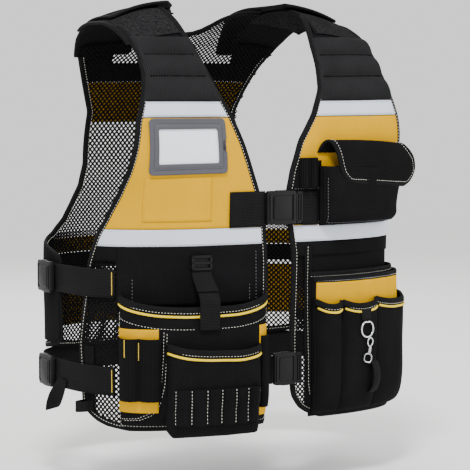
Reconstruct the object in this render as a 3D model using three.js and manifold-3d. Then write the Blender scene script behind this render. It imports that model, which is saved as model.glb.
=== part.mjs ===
// Utility work vest, as worn: net back and fronts, padded shoulders, tool and nail pouches, buckled straps.
// Millimetres, +Z up, the vest faces -Y. The origin lies between the shoulder seats, at their underside.
//
// Cloth is laid on one torso form. A place on it is (s, t): s is millimetres round the girth from the
// centre line, positive towards +X, and t is millimetres below the shoulder arch when negative and
// degrees round that arch when positive. Lift is millimetres outwards from the form.

import * as THREE from "three";
import { mergeVertices } from "three/addons/utils/BufferGeometryUtils.js";
import Module from "manifold-3d";

const manifold = await Module();
manifold.setup();

// Driving dimensions

const TORSO = {
  halfWidth: 236,
  frontDepth: 146,
  backDepth: 172,
  archHeight: 214,
  shoulderDrop: 28, // fall of the shoulder from the neck side to the arm side
  neckSide: 95,
  armSide: 205,
  waistPower: 3, // roundness of the girth at the waist, 2 is an ellipse
  chestPower: 6,
  backArchPower: 2.6,
  waistLine: 61, // below the arch, where the waist roundness is reached
  chestTurn: 23, // degrees round the arch, where the chest roundness is reached
};
const CLOTH = { net: 2, patch: 1.6, webbing: 1.8, tape: 1, gap: 0.4 };
const FRONT = { drop: 341, reach: 291 };
const BACK = { drop: 263, reach: 327, neckTurn: 54 };
const BANDS = {
  yoke: { fromTurn: 33, toTurn: 41.5, finish: "woven" },
  upper_band: { fromTurn: 16, toTurn: 32.5, finish: "yellow" },
  middle_band: { top: 104, height: 21, finish: "yellow" },
  waist_band: { top: 126, height: 24, finish: "woven" },
  lower_band: { top: 156, height: 72, finish: "yellow" },
};
const PAD = { start: 26, end: 56, crown: 7, seam: 2.4, channels: 3 };
const STRAP = { frontEnd: 112, tipLift: 6, tip: 0.2 };
const TAPE = { chestFrom: 19.5, chestTo: 25.3, waistTop: 76, width: 22 };
const CARD = { left: -188, width: 109, topTurn: 18.6, height: 71, border: 12, corner: 6, card: 0.8, tuck: 4 };
const MAGNET = { left: -192, width: 92, top: 7, height: 59 };
const CHEST = { top: 28, width: 45, anchor: 54, socket: 46, ladder: 11, thick: 9, webbing: 25 };
const WAIST = { top: 246, width: 44, socket: 34, ladder: 11, thick: 9, left: -8, tail: 13 };
const TOOL_POUCH = { left: -221, right: -22, top: 172, margin: 5, depth: 32, wall: 2 };
const NAIL_POUCH = { left: -166, right: -47, top: 231, overhang: 7, depth: 17, wall: 2 };
const BITS = { left: -160, right: -56, top: 281, height: 46, depth: 7, wall: 1.6, tubes: 6 };
const SLEEVES = { left: -215, width: 45, top: 205, height: 110, depth: 9, wall: 1.6, tubes: 2 };
const SIDE_SLEEVE = { left: -44, width: 19, top: 203, height: 122, depth: 6, wall: 1.6 };
const TOOL_STRAP = { left: -128, width: 27, top: 110, sewn: 206, buckle: 20, thick: 6 };
const PHONE = { left: 66, right: 203, top: -2, bottom: 77, depth: 26, wall: 2 };
const FLAP = { left: 62, right: 209, topTurn: 12, bottom: 15, gap: 1.6, wall: 2 };
const PENS = { left: 33, right: 62, topTurn: 4, bottom: 26, depth: 9, wall: 1.6, tubes: 2 };
const REAR_POCKET = { left: 50, right: 262, top: 141, margin: 4, depth: 6.4, wall: 1.6 };
const MIDDLE_POCKET = { inset: 3, lower: 5, depth: 6.4, wall: 1.6 };
const TRIPLE = { inset: 3, top: 186, depth: 13, wall: 1.8, pleats: [88, 152] };
const RING = { place: 122, top: 207, width: 24, height: 21, wire: 3.4, tab: 17, tabTop: 192 };
const HOOK = { length: 34, width: 14, wire: 3.4 };
const TAPE_LOOP = { width: 15, length: 42, stand: 9 };
const SIDE_STRAP = { width: 38, upper: 128, lower: 257, sewnAt: 228, buckleAt: 292, buckle: 52, thick: 9 };
const HAMMER = {
  right: { place: 0.8935 * FRONT.reach, top: 232, length: 88, loopTop: 304 },
  left: { place: 0.9175 * FRONT.reach, top: 224, length: 31, loopTop: 238 },
  width: 19,
  stand: 22,
  band: 14,
};

// Short tables. Hang is a share of the piece's own drop below the arch, turn is degrees round the arch,
// and inner and outer are shares of the piece's reach round the girth.

const RIGHT_OUTLINE = [
  { hang: 1.0, inner: 0.069, outer: 0.56 },
  { hang: 0.994, inner: 0.069, outer: 0.72 },
  { hang: 0.982, inner: 0.069, outer: 0.818 },
  { hang: 0.962, inner: 0.069, outer: 0.904 },
  { hang: 0.93, inner: 0.069, outer: 0.962 },
  { hang: 0.9, inner: 0.069, outer: 0.986 },
  { hang: 0.674, inner: 0.058, outer: 1.0 },
  { hang: 0.358, inner: 0.055, outer: 0.935 },
  { hang: 0.246, inner: 0.06, outer: 0.88 },
  { hang: 0.179, inner: 0.066, outer: 0.832 },
  { hang: 0.088, inner: 0.094, outer: 0.78 },
  { turn: 0, inner: 0.13, outer: 0.742 },
  { turn: 10, inner: 0.172, outer: 0.717 },
  { turn: 20, inner: 0.222, outer: 0.7 },
  { turn: 30, inner: 0.282, outer: 0.66 },
  { turn: 40, inner: 0.318, outer: 0.63 },
  { turn: 50, inner: 0.342, outer: 0.624 },
  { turn: 60, inner: 0.353, outer: 0.629 },
  { turn: 75, inner: 0.364, outer: 0.643 },
];
const LEFT_OUTLINE = [
  { hang: 0.994, inner: 0.27, outer: 0.72 },
  { hang: 0.977, inner: 0.179, outer: 0.84 },
  { hang: 0.947, inner: 0.117, outer: 0.93 },
  { hang: 0.897, inner: 0.079, outer: 0.975 },
  { hang: 0.856, inner: 0.072, outer: 0.99 },
  { hang: 0.674, inner: 0.072, outer: 1.0 },
  { hang: 0.331, inner: 0.082, outer: 0.93 },
  { hang: 0.22, inner: 0.062, outer: 0.865 },
  { hang: 0.179, inner: 0.056, outer: 0.83 },
  { hang: 0.088, inner: 0.05, outer: 0.79 },
  { turn: 0, inner: 0.07, outer: 0.757 },
  { turn: 10, inner: 0.118, outer: 0.747 },
  { turn: 20, inner: 0.209, outer: 0.741 },
  { turn: 30, inner: 0.27, outer: 0.72 },
  { turn: 40, inner: 0.289, outer: 0.7 },
  { turn: 50, inner: 0.298, outer: 0.692 },
  { turn: 60, inner: 0.32, outer: 0.688 },
  { turn: 75, inner: 0.355, outer: 0.68 },
];
const BACK_OUTLINE = [
  { hang: 1.0, half: 0.22 },
  { hang: 0.97, half: 0.56 },
  { hang: 0.925, half: 0.86 },
  { hang: 0.886, half: 1.0 },
  { hang: 0.452, half: 0.99 },
  { hang: 0.376, half: 0.66 },
  { hang: 0.293, half: 0.545 },
  { hang: 0.232, half: 0.5 },
  { hang: 0.114, half: 0.425 },
  { turn: 0, half: 0.39 },
  { turn: 20, half: 0.375 },
  { turn: 40, half: 0.45 },
  { turn: 54, half: 0.505 },
];
const STRAP_OUTLINE = [
  { turn: 57.6, inner: 0.355, outer: 0.645 },
  { turn: 75, inner: 0.364, outer: 0.66 },
  { turn: 90, inner: 0.35, outer: 0.66 },
  { turn: 112, inner: 0.32, outer: 0.62 },
];
const BACK_STRAP_OUTLINE = [
  { turn: 46, inner: 0.02, outer: 0.485 },
  { turn: 58, inner: 0.02, outer: 0.515 },
  { turn: 62, inner: 0.08, outer: 0.52 },
  { turn: 66, inner: 0.11, outer: 0.525 },
  { turn: 74, inner: 0.145, outer: 0.535 },
  { turn: 84, inner: 0.19, outer: 0.55 },
  { turn: 96, inner: 0.28, outer: 0.55 },
];

const clampShare = (value) => THREE.MathUtils.clamp(value, 0, 1);

// Torso form

const GIRTH_SAMPLES = 600;
const girths = new Map();

function power(t) {
  const reached = t < 0 ? 0 : Math.sin(rad(t)) / Math.sin(rad(TORSO.chestTurn));
  const span = TORSO.waistLine + TORSO.archHeight * Math.sin(rad(TORSO.chestTurn));
  const above = t < 0 ? TORSO.waistLine + t : TORSO.waistLine + (span - TORSO.waistLine) * reached;
  const share = THREE.MathUtils.clamp(above / span, 0, 1);
  const eased = share * share * (3 - 2 * share);
  return TORSO.waistPower + (TORSO.chestPower - TORSO.waistPower) * eased;
}

function rad(degrees) {
  return THREE.MathUtils.degToRad(degrees);
}

// A quarter of the girth, sampled from its centre line to the side, with the length so far.
function quarterGirth(roundness, depth) {
  const key = roundness.toFixed(3) + "/" + depth;
  if (girths.has(key)) return girths.get(key);
  const samples = [];
  let length = 0;
  for (let i = 0; i <= GIRTH_SAMPLES; i++) {
    const angle = (i / GIRTH_SAMPLES) * (Math.PI / 2);
    const x = TORSO.halfWidth * Math.sin(angle) ** (2 / roundness);
    const y = depth * Math.max(Math.cos(angle), 0) ** (2 / roundness);
    if (i) length += Math.hypot(x - samples[i - 1].x, y - samples[i - 1].y);
    samples.push({ x, y, length });
  }
  girths.set(key, samples);
  return samples;
}

function alongQuarter(samples, length) {
  let low = 0;
  let high = samples.length - 1;
  while (high - low > 1) {
    const middle = (low + high) >> 1;
    if (samples[middle].length > length) high = middle;
    else low = middle;
  }
  const a = samples[low];
  const b = samples[high];
  const share = THREE.MathUtils.clamp((length - a.length) / (b.length - a.length || 1), 0, 1);
  return { x: a.x + (b.x - a.x) * share, y: a.y + (b.y - a.y) * share };
}

// Side is 1 in front and -1 at the back, with s counted from that side's own centre line.
function formPoint(s, t, side) {
  if (t > 90) return formPoint(s, 180 - t, -side);
  const roundness = power(t);
  const near = quarterGirth(roundness, side > 0 ? TORSO.frontDepth : TORSO.backDepth);
  const far = quarterGirth(roundness, side > 0 ? TORSO.backDepth : TORSO.frontDepth);
  const reach = near[near.length - 1].length;
  const past = Math.abs(s) > reach;
  const { x, y } = past
    ? alongQuarter(far, far[far.length - 1].length - (Math.abs(s) - reach))
    : alongQuarter(near, Math.abs(s));
  const depth = past ? -y : y;
  if (t <= 0) return new THREE.Vector3(Math.sign(s) * x, -side * depth, t - TORSO.archHeight);
  const turn = rad(t);
  const out = Math.max(x - TORSO.neckSide, 0) / (TORSO.armSide - TORSO.neckSide);
  const rise = TORSO.archHeight - TORSO.shoulderDrop * Math.min(out, 1.1) ** 2;
  const lean = side > 0 ? Math.cos(turn) : Math.cos(turn) ** (2 / TORSO.backArchPower);
  return new THREE.Vector3(
    Math.sign(s) * x,
    -side * depth * lean,
    rise * Math.sin(turn) - TORSO.archHeight,
  );
}

const STEP = 0.5;

function formNormal(s, t, side) {
  const across = formPoint(s + STEP, t, side).sub(formPoint(s - STEP, t, side));
  const up = formPoint(s, t + STEP, side).sub(formPoint(s, t - STEP, side));
  return across.cross(up).normalize().multiplyScalar(side);
}

function onForm(s, t, side, lift) {
  return formPoint(s, t, side).addScaledVector(formNormal(s, t, side), lift);
}

// Cloth laid on the form

const GIRTH_STATIONS = [0, 60, 112, 150, 180, 205, 226, 246, 268, 292, 327];
const HEIGHT_STATIONS = [-61, -30, 0, 10, 20, 30, 40, 50, 60, 70, 80, 90, 100, 110];
const STATIONS = [...GIRTH_STATIONS.slice(1).map((s) => -s).reverse(), ...GIRTH_STATIONS];

const APART = 1.2; // least distance between two folds

function between(rows, t, column) {
  let i = 1;
  while (i < rows.length - 1 && rows[i].t < t) i++;
  const a = rows[i - 1];
  const b = rows[i];
  const share = THREE.MathUtils.clamp((t - a.t) / (b.t - a.t), 0, 1);
  return a[column] + (b[column] - a[column]) * share;
}

function dropFlat(geometry) {
  const kept = [];
  const index = geometry.index.array;
  for (let i = 0; i < index.length; i += 3) {
    const [a, b, c] = [index[i], index[i + 1], index[i + 2]];
    if (a !== b && b !== c && c !== a) kept.push(a, b, c);
  }
  geometry.setIndex(kept);
  return geometry;
}

function welded(geometry) {
  geometry.deleteAttribute("normal");
  geometry.deleteAttribute("uv");
  return dropFlat(mergeVertices(geometry, 1e-3));
}

// A piece of cloth from rows { t, from, to }, low to high. Lift and thickness are numbers or functions of
// the share across, the share up, s and t. It folds at the stops round the girth and the levels up it,
// or has even columns where they are given.
function cloth({ rows, side = 1, lift = 0, thickness = CLOTH.patch, columns = 0, stops, levels = [] }) {
  const lowest = rows[0].t;
  const highest = rows[rows.length - 1].t;
  const heights = rows.map((row) => row.t);
  for (const t of [...levels, ...HEIGHT_STATIONS])
    if (t > lowest && t < highest && heights.every((other) => Math.abs(other - t) > APART)) heights.push(t);
  heights.sort((a, b) => a - b);
  const least = Math.min(...rows.map((row) => row.from));
  const most = Math.max(...rows.map((row) => row.to));
  const folds = (stops || STATIONS).filter((s) => s > least + 1 && s < most - 1);
  const across = columns || folds.length + 1;
  const value = (amount, ...place) => (typeof amount === "function" ? amount(...place) : amount);
  const box = new THREE.BoxGeometry(1, 1, 1, across, heights.length - 1, 1);
  const position = box.getAttribute("position");
  for (let i = 0; i < position.count; i++) {
    const column = Math.round((side * position.getX(i) + 0.5) * across);
    const row = Math.round((position.getY(i) + 0.5) * (heights.length - 1));
    const t = heights[row];
    const from = between(rows, t, "from");
    const to = between(rows, t, "to");
    let s = from + ((to - from) * column) / across;
    if (!columns && column > 0 && column < across)
      s = THREE.MathUtils.clamp(folds[column - 1], from, to);
    const place = [(s - from) / (to - from), row / (heights.length - 1), s, t];
    const low = value(lift, ...place);
    const outer = position.getZ(i) > 0 ? value(thickness, ...place) : 0;
    const point = onForm(s, t, side, low + outer);
    position.setXYZ(i, point.x, point.y, point.z);
  }
  return welded(foldedAlike(box));
}

// Splits the inner face's squares along the same diagonals as the outer face's.
function foldedAlike(box) {
  const inner = box.groups[5];
  const index = box.index.array;
  for (let i = inner.start; i < inner.start + inner.count; i += 6) {
    const [a, b, d, , c] = index.slice(i, i + 5);
    index.set([a, b, c, a, c, d], i);
  }
  return box;
}

// Rows from an outline table. Hand is -1 for the wearer's right and 1 for the left.
function outlineRows(table, { drop, reach }, hand) {
  return table.map((row) => {
    const t = row.turn === undefined ? -row.hang * drop : row.turn;
    const inner = (row.half === undefined ? row.inner : -row.half) * reach;
    const outer = (row.half === undefined ? row.outer : row.half) * reach;
    return hand < 0 ? { t, from: -outer, to: -inner } : { t, from: inner, to: outer };
  });
}

// The part of an outline between two heights, taken in by a margin at both edges.
function slice(rows, low, high, margin = 0) {
  const kept = rows.map((row) => row.t).filter((t) => t > low + 2 && t < high - 2);
  return [low, ...kept, high].map((t) => ({
    t,
    from: between(rows, t, "from") + margin,
    to: between(rows, t, "to") - margin,
  }));
}

function rectangle(from, to, bottom, top) {
  return [
    { t: bottom, from, to },
    { t: top, from, to },
  ];
}

// Height, as t, of a place that many millimetres further down than another.
function lower(t, length) {
  const z = formPoint(0, t, 1).z - length;
  const above = z + TORSO.archHeight;
  return above <= 0 ? above : THREE.MathUtils.radToDeg(Math.asin(above / TORSO.archHeight));
}

// Booleans

function solid(geometry) {
  return new manifold.Manifold(
    new manifold.Mesh({
      numProp: 3,
      vertProperties: geometry.getAttribute("position").array,
      triVerts: new Uint32Array(geometry.index.array),
    }),
  );
}

function geometryOf(body) {
  const mesh = body.getMesh();
  return new THREE.BufferGeometry()
    .setAttribute("position", new THREE.BufferAttribute(mesh.vertProperties, 3))
    .setIndex(new THREE.BufferAttribute(mesh.triVerts, 1));
}

// Turns and moves a flat piece, drawn in x and y with its depth outwards, on to the form.
function seated(geometry, s, t, side, lift) {
  const outward = formNormal(s, t, side);
  const across = formPoint(s + STEP, t, side).sub(formPoint(s - STEP, t, side));
  across.multiplyScalar(side).addScaledVector(outward, -across.dot(outward)).normalize();
  const up = new THREE.Vector3().crossVectors(outward, across);
  const basis = new THREE.Matrix4().makeBasis(across, up, outward);
  basis.setPosition(onForm(s, t, side, lift));
  return geometry.applyMatrix4(basis);
}

const NET = { width: 21, height: 25, pitch: 31, rise: 34, edge: 13, cutter: 12 };

// Diamond cuts through a net, in staggered rows between two heights.
function netted(geometry, rows, side, low, high, inner = -Infinity, outer = Infinity) {
  let body = solid(geometry);
  let odd = false;
  for (let t = low + NET.rise / 2; t < high - NET.rise / 2; t += NET.rise / 2) {
    const from = Math.max(between(rows, t, "from") + NET.edge, inner);
    const to = Math.min(between(rows, t, "to") - NET.edge, outer);
    const middle = (from + to) / 2;
    const count = Math.floor((to - from) / NET.pitch + (odd ? 0 : 1));
    for (let i = 0; i < count; i++) {
      const s = middle + (i - (count - 1) / 2) * NET.pitch;
      const diamond = welded(new THREE.CylinderGeometry(1, 1, NET.cutter, 4));
      diamond.rotateX(Math.PI / 2);
      diamond.scale(NET.width / 2, NET.height / 2, 1);
      body = body.subtract(solid(seated(diamond, s, t, side, 0)));
    }
    odd = !odd;
  }
  return geometryOf(body);
}

// Materials

const FINISH = {
  net: { color: 0x1c1c1e, roughness: 0.9 },
  woven: { color: 0x17171a, roughness: 0.85 },
  webbing: { color: 0x1b1b1e, roughness: 0.7 },
  yellow: { color: 0xf0be2d, roughness: 0.85 },
  silver: { color: 0xcdd4de, roughness: 0.35 },
  vinyl: { color: 0x6a6a70, roughness: 0.5 },
  card: { color: 0xe8ecef, roughness: 0.4 },
  plastic: { color: 0x141416, roughness: 0.45 },
  steel: { color: 0xc8cacc, roughness: 0.25, metalness: 1 },
};

const vest = new THREE.Group();

function add(name, finish, geometry, group = vest) {
  const mesh = new THREE.Mesh(geometry, new THREE.MeshStandardMaterial(FINISH[finish]));
  mesh.name = name;
  group.add(mesh);
  return mesh;
}

// Lifts of the layers of cloth

const LAYER = { one: CLOTH.net + CLOTH.gap };
LAYER.two = LAYER.one + CLOTH.patch + CLOTH.gap;
LAYER.three = LAYER.two + CLOTH.webbing + CLOTH.gap;
LAYER.pouch = CLOTH.net + 2 * CLOTH.gap;

const HANDS = [
  { name: "right", hand: -1, rows: outlineRows(RIGHT_OUTLINE, FRONT, -1) },
  { name: "left", hand: 1, rows: outlineRows(LEFT_OUTLINE, FRONT, 1) },
];
const [RIGHT, LEFT] = HANDS;

// Back

function back() {
  const group = new THREE.Group();
  const rows = outlineRows(BACK_OUTLINE, BACK, 1);
  const net = cloth({ rows, side: -1, thickness: CLOTH.net });
  const { middle_band: middle, upper_band: upper } = BANDS;
  add("back_panel", "net", netted(net, rows, -1, -middle.top, upper.fromTurn), group);
  for (const [name, { top, height, fromTurn, toTurn, finish }] of Object.entries(BANDS)) {
    const band = slice(rows, fromTurn ?? -top - height, top === undefined ? toTurn : -top, 3);
    add("back_" + name, finish, cloth({ rows: band, side: -1, lift: LAYER.one }), group);
  }
  vest.add(group);
}

// Fronts, with their stripes, panels and padded shoulders

function padThickness(across, up) {
  const channel = Math.abs(Math.sin(Math.PI * PAD.channels * up)) ** 0.7;
  const edge = (1 - Math.abs(2 * clampShare(across) - 1) ** 6) ** 0.5;
  return PAD.seam + PAD.crown * channel * edge;
}

// Where the fronts show their net, as shares of their reach
const FRONT_NET = { right: { from: -0.948, to: -0.797 }, left: { from: 0.103, to: 0.172 } };

function front({ name, hand, rows }) {
  const group = new THREE.Group();
  const panel = cloth({ rows, thickness: CLOTH.net });
  const { from, to } = FRONT_NET[name];
  const top = -TAPE.waistTop - TAPE.width;
  const net = netted(panel, rows, 1, -FRONT.drop + 40, top - 10, from * FRONT.reach, to * FRONT.reach);
  add("front_panel_" + name, "net", net, group);
  const chest = slice(rows, TAPE.chestFrom, TAPE.chestTo, 2);
  const waistTop = -TAPE.waistTop;
  const waistEnd = waistTop - TAPE.width;
  const tape = { lift: LAYER.one, thickness: CLOTH.tape };
  add("reflective_chest_" + name, "silver", cloth({ rows: chest, ...tape }), group);
  const waist = slice(rows, waistEnd, waistTop, 2);
  add("reflective_waist_" + name, "silver", cloth({ rows: waist, ...tape }), group);
  const yellow = slice(rows, waistTop + 0.5, TAPE.chestFrom - 0.3, 2);
  add("yellow_panel_" + name, "yellow", cloth({ rows: yellow, lift: LAYER.one }), group);
  const steps = PAD.channels * 4;
  const padRows = slice(rows, PAD.start, PAD.end, 3);
  const pad = cloth({ rows: evenRows(padRows, steps), lift: LAYER.one, thickness: padThickness });
  add("shoulder_pad_" + name, "woven", pad, group);
  const strapRows = outlineRows(STRAP_OUTLINE, FRONT, hand);
  const strap = cloth({ rows: strapRows, lift: LAYER.one, thickness: CLOTH.patch });
  add("shoulder_strap_" + name, "woven", strap, group);
  const overRows = outlineRows(BACK_STRAP_OUTLINE, BACK, hand);
  const curl = (across, up) => {
    const end = Math.max(up - 1 + STRAP.tip, 0) / STRAP.tip;
    return LAYER.two + STRAP.tipLift * end * end * (hand < 0 ? across : 1 - across);
  };
  const levels = [BACK.neckTurn - 1, 180 - STRAP.frontEnd];
  const stops = [...STATIONS, -TORSO.neckSide, TORSO.neckSide].sort((a, b) => a - b);
  const over = cloth({ rows: overRows, side: -1, lift: curl, thickness: CLOTH.webbing, stops, levels });
  add("back_strap_" + name, "woven", over, group);
  vest.add(group);
}

// The same outline cut into even rows.
function evenRows(rows, steps) {
  const low = rows[0].t;
  const high = rows[rows.length - 1].t;
  return Array.from({ length: steps + 1 }, (_, i) => {
    const t = low + ((high - low) * i) / steps;
    return { t, from: between(rows, t, "from"), to: between(rows, t, "to") };
  });
}

// Card window and magnet patch on the right chest

function cardWindow() {
  const group = new THREE.Group();
  const top = CARD.topTurn;
  const bottom = lower(top, CARD.height);
  const right = CARD.left + CARD.width;
  const lift = LAYER.two + CARD.card + CLOTH.gap;
  const inset = CARD.border - CARD.tuck;
  const levels = [lower(bottom, -inset), lower(top, inset)];
  const stops = [...STATIONS, CARD.left + inset, right - inset].sort((a, b) => a - b);
  const outer = cloth({ rows: rectangle(CARD.left, right, bottom, top), lift, stops, levels });
  const wide = CARD.width - 2 * CARD.border;
  const tall = CARD.height - 2 * CARD.border;
  const hole = roundedPlate(wide, tall, 30, CARD.corner).translate(0, 0, -15);
  const middle = CARD.left + CARD.width / 2;
  const height = lower(top, CARD.height / 2);
  const cut = solid(outer).subtract(solid(seated(welded(hole), middle, height, 1, 0)));
  add("id_frame", "vinyl", geometryOf(cut), group);
  const card = rectangle(CARD.left + inset, right - inset, ...levels);
  add("id_card", "card", cloth({ rows: card, lift: LAYER.two, thickness: CARD.card }), group);
  const magnet = rectangle(
    MAGNET.left,
    MAGNET.left + MAGNET.width,
    -MAGNET.top - MAGNET.height,
    -MAGNET.top,
  );
  add("magnet_patch", "yellow", cloth({ rows: magnet, lift: LAYER.two }), group);
  vest.add(group);
}

function roundedShape(width, height, radius) {
  const [x, y] = [width / 2, height / 2];
  const shape = new THREE.Shape();
  shape.moveTo(-x + radius, -y);
  shape.lineTo(x - radius, -y);
  shape.absarc(x - radius, -y + radius, radius, -Math.PI / 2, 0, false);
  shape.lineTo(x, y - radius);
  shape.absarc(x - radius, y - radius, radius, 0, Math.PI / 2, false);
  shape.lineTo(-x + radius, y);
  shape.absarc(-x + radius, y - radius, radius, Math.PI / 2, Math.PI, false);
  shape.lineTo(-x, -y + radius);
  shape.absarc(-x + radius, -y + radius, radius, Math.PI, 1.5 * Math.PI, false);
  return shape;
}

function roundedPlate(width, height, depth, radius, hole) {
  const shape = roundedShape(width, height, radius);
  if (hole) {
    const slot = roundedShape(hole.width, hole.height, hole.radius).getPoints(2);
    shape.holes.push(new THREE.Path(slot.reverse().map((p) => p.setX(p.x + hole.x))));
  }
  return new THREE.ExtrudeGeometry(shape, { depth, bevelEnabled: false, curveSegments: 3 });
}

// A side-release buckle: socket and plug side by side, the plug's bar frame past it.
function buckle(name, { left, middle, height, socket, ladder, thick, lift, side = 1 }) {
  const group = new THREE.Group();
  const body = roundedPlate(socket, height, thick, 5);
  const bar = { width: ladder * 0.34, height: height - 10, radius: 1, x: 0 };
  const frame = roundedPlate(ladder, height - 3, thick * 0.6, 2, bar);
  const along = side > 0 ? 1 : -1;
  const at = left + along * (socket / 2);
  const past = left + along * (socket + ladder / 2 + CLOTH.gap);
  add(name + "_socket", "plastic", seated(welded(body), at, middle, side, lift), group);
  add(name + "_plug", "plastic", seated(welded(frame), past, middle, side, lift), group);
  vest.add(group);
}

function chestFastening() {
  const middle = -CHEST.top - CHEST.width / 2;
  const from = -CHEST.top - CHEST.width;
  const left = -CHEST.socket / 2 + 3;
  const anchor = rectangle(left - CHEST.anchor, left - CLOTH.gap, from, -CHEST.top);
  const web = { lift: LAYER.two, thickness: CLOTH.webbing };
  add("chest_anchor", "webbing", cloth({ rows: anchor, ...web }));
  buckle("chest_buckle", { ...CHEST, left, middle, height: CHEST.width, lift: LAYER.two });
  const start = left + CHEST.socket + CHEST.ladder + 2 * CLOTH.gap;
  const tail = rectangle(start, start + CHEST.webbing, from, -CHEST.top);
  add("chest_webbing", "webbing", cloth({ rows: tail, ...web }));
}

function waistFastening() {
  const middle = -WAIST.top - WAIST.width / 2;
  const from = -WAIST.top - WAIST.width;
  const size = { ...WAIST, middle, height: WAIST.width, lift: LAYER.one };
  buckle("waist_buckle", size);
  const tail = rectangle(WAIST.left - WAIST.tail, WAIST.left - CLOTH.gap, from + 2, -WAIST.top - 2);
  add("waist_webbing", "webbing", cloth({ rows: tail, lift: LAYER.one, thickness: CLOTH.webbing }));
}

// Pouches: a front of cloth that stands off the body and is sewn down at its two sides and its foot.

function fullness(across, up, { sides = 5, foot = 0.25 } = {}) {
  const side = (1 - Math.abs(2 * clampShare(across) - 1) ** sides) ** 0.6;
  const rise = Math.min(up / foot, 1);
  return side * Math.sqrt(1 - (1 - rise) ** 2);
}

// How far the tool pouch's outer face stands off the form.
function toolPouchFace(s, t) {
  const across = clampShare((s - TOOL_POUCH.left) / (TOOL_POUCH.right - TOOL_POUCH.left));
  const foot = -FRONT.drop + TOOL_POUCH.margin;
  const up = clampShare((t - foot) / (-TOOL_POUCH.top - foot));
  return LAYER.pouch + TOOL_POUCH.wall + TOOL_POUCH.depth * fullness(across, up, { sides: 6, foot: 0.3 });
}

function nailPouchFace(s, t) {
  const across = clampShare((s - NAIL_POUCH.left) / (NAIL_POUCH.right - NAIL_POUCH.left));
  const foot = -FRONT.drop - NAIL_POUCH.overhang;
  const up = clampShare((t - foot) / (-NAIL_POUCH.top - foot));
  const stand = NAIL_POUCH.depth * fullness(across, up, { sides: 6, foot: 0.2 });
  return toolPouchFace(s, Math.max(t, foot + NAIL_FOOT)) + CLOTH.gap + NAIL_POUCH.wall + stand;
}

const NAIL_FOOT = 40;

const spaced = (from, to, count) =>
  Array.from({ length: count + 1 }, (_, i) => from + ((to - from) * i) / count);

const POUCH_UP = [0, 0.04, 0.1, 0.2, 0.3, 0.6, 1];
const POUCH_ACROSS = [0, 0.02, 0.07, 0.16, 0.31, 0.5, 0.69, 0.84, 0.93, 0.98, 1];

function pouchRows(left, right, foot, top) {
  return POUCH_UP.map((share) => ({ t: foot + (top - foot) * share, from: left, to: right }));
}

function pouchStops(left, right) {
  return POUCH_ACROSS.map((share) => left + (right - left) * share);
}

const TOOL_FOLDS = {
  stops: tidied([...pouchStops(TOOL_POUCH.left, TOOL_POUCH.right), NAIL_POUCH.left, NAIL_POUCH.right], 1),
  levels: pouchRows(0, 0, -FRONT.drop + TOOL_POUCH.margin, -TOOL_POUCH.top).map((row) => row.t),
};

function toolPouch() {
  const group = new THREE.Group();
  const foot = -FRONT.drop + TOOL_POUCH.margin;
  const rows = pouchRows(TOOL_POUCH.left, TOOL_POUCH.right, foot, -TOOL_POUCH.top);
  const lift = (across, up, s, t) => toolPouchFace(s, t) - TOOL_POUCH.wall;
  const shell = cloth({ rows, lift, thickness: TOOL_POUCH.wall, stops: TOOL_FOLDS.stops });
  add("tool_pouch", "woven", shell, group);
  const backing = slice(RIGHT.rows, -TOOL_POUCH.top + 2, -TAPE.waistTop - TAPE.width - 1, 6);
  const trimmed = backing.map((row) => ({ ...row, from: Math.max(row.from, TOOL_POUCH.left - 5) }));
  add("pouch_backing", "woven", cloth({ rows: trimmed, lift: LAYER.one }), group);
  vest.add(group);
}

function toolStrap() {
  const { left, width, top, sewn, buckle: tall, thick } = TOOL_STRAP;
  const rim = -TOOL_POUCH.top;
  const stand = (across, up, s, t) => {
    const face = toolPouchFace(s, Math.min(t, rim)) + CLOTH.gap;
    const fall = clampShare((t - rim) / (-top - tall - rim));
    return face + (LAYER.two - face) * fall * fall * (3 - 2 * fall);
  };
  const levels = [...spaced(-sewn, rim, 2).slice(1), ...spaced(rim, -top - tall, 5).slice(1, -1)];
  const rows = rectangle(left, left + width - 2, -sewn, -top - tall - CLOTH.gap);
  const strap = cloth({ rows, lift: stand, thickness: CLOTH.webbing, stops: TOOL_FOLDS.stops, levels });
  add("tool_strap", "webbing", strap);
  const hole = { width: width - 8, height: tall * 0.19, radius: 1, x: 0 };
  const frame = roundedPlate(width + 2, tall, thick, 2, hole);
  const place = left + width / 2 - 1;
  add("tool_strap_buckle", "plastic", seated(welded(frame), place, -top - tall / 2, 1, LAYER.two));
}

function nailPouch() {
  const group = new THREE.Group();
  const foot = -FRONT.drop - NAIL_POUCH.overhang;
  const rows = pouchRows(NAIL_POUCH.left, NAIL_POUCH.right, foot, -NAIL_POUCH.top);
  rows[0].from += 5;
  rows[0].to -= 4;
  const lift = (across, up, s, t) => nailPouchFace(s, t) - NAIL_POUCH.wall;
  const stops = [...pouchStops(NAIL_POUCH.left, NAIL_POUCH.right), ...TOOL_FOLDS.stops];
  const { levels } = TOOL_FOLDS;
  const shell = cloth({ rows, lift, thickness: NAIL_POUCH.wall, stops: tidied(stops, 8), levels });
  add("nail_pouch", "woven", shell, group);
  const bits = rectangle(BITS.left, BITS.right, -BITS.top - BITS.height, -BITS.top);
  add("bit_band", "woven", tubes(bits, BITS, (s, t) => nailPouchFace(s, t) + CLOTH.gap), group);
  vest.add(group);
}

// Stops in order, with those dropped that come too close after another.
function tidied(stops, least) {
  const sorted = [...stops].sort((a, b) => a - b);
  const kept = [sorted[0]];
  for (const stop of sorted) if (stop - kept[kept.length - 1] > least) kept.push(stop);
  return kept;
}

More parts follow.
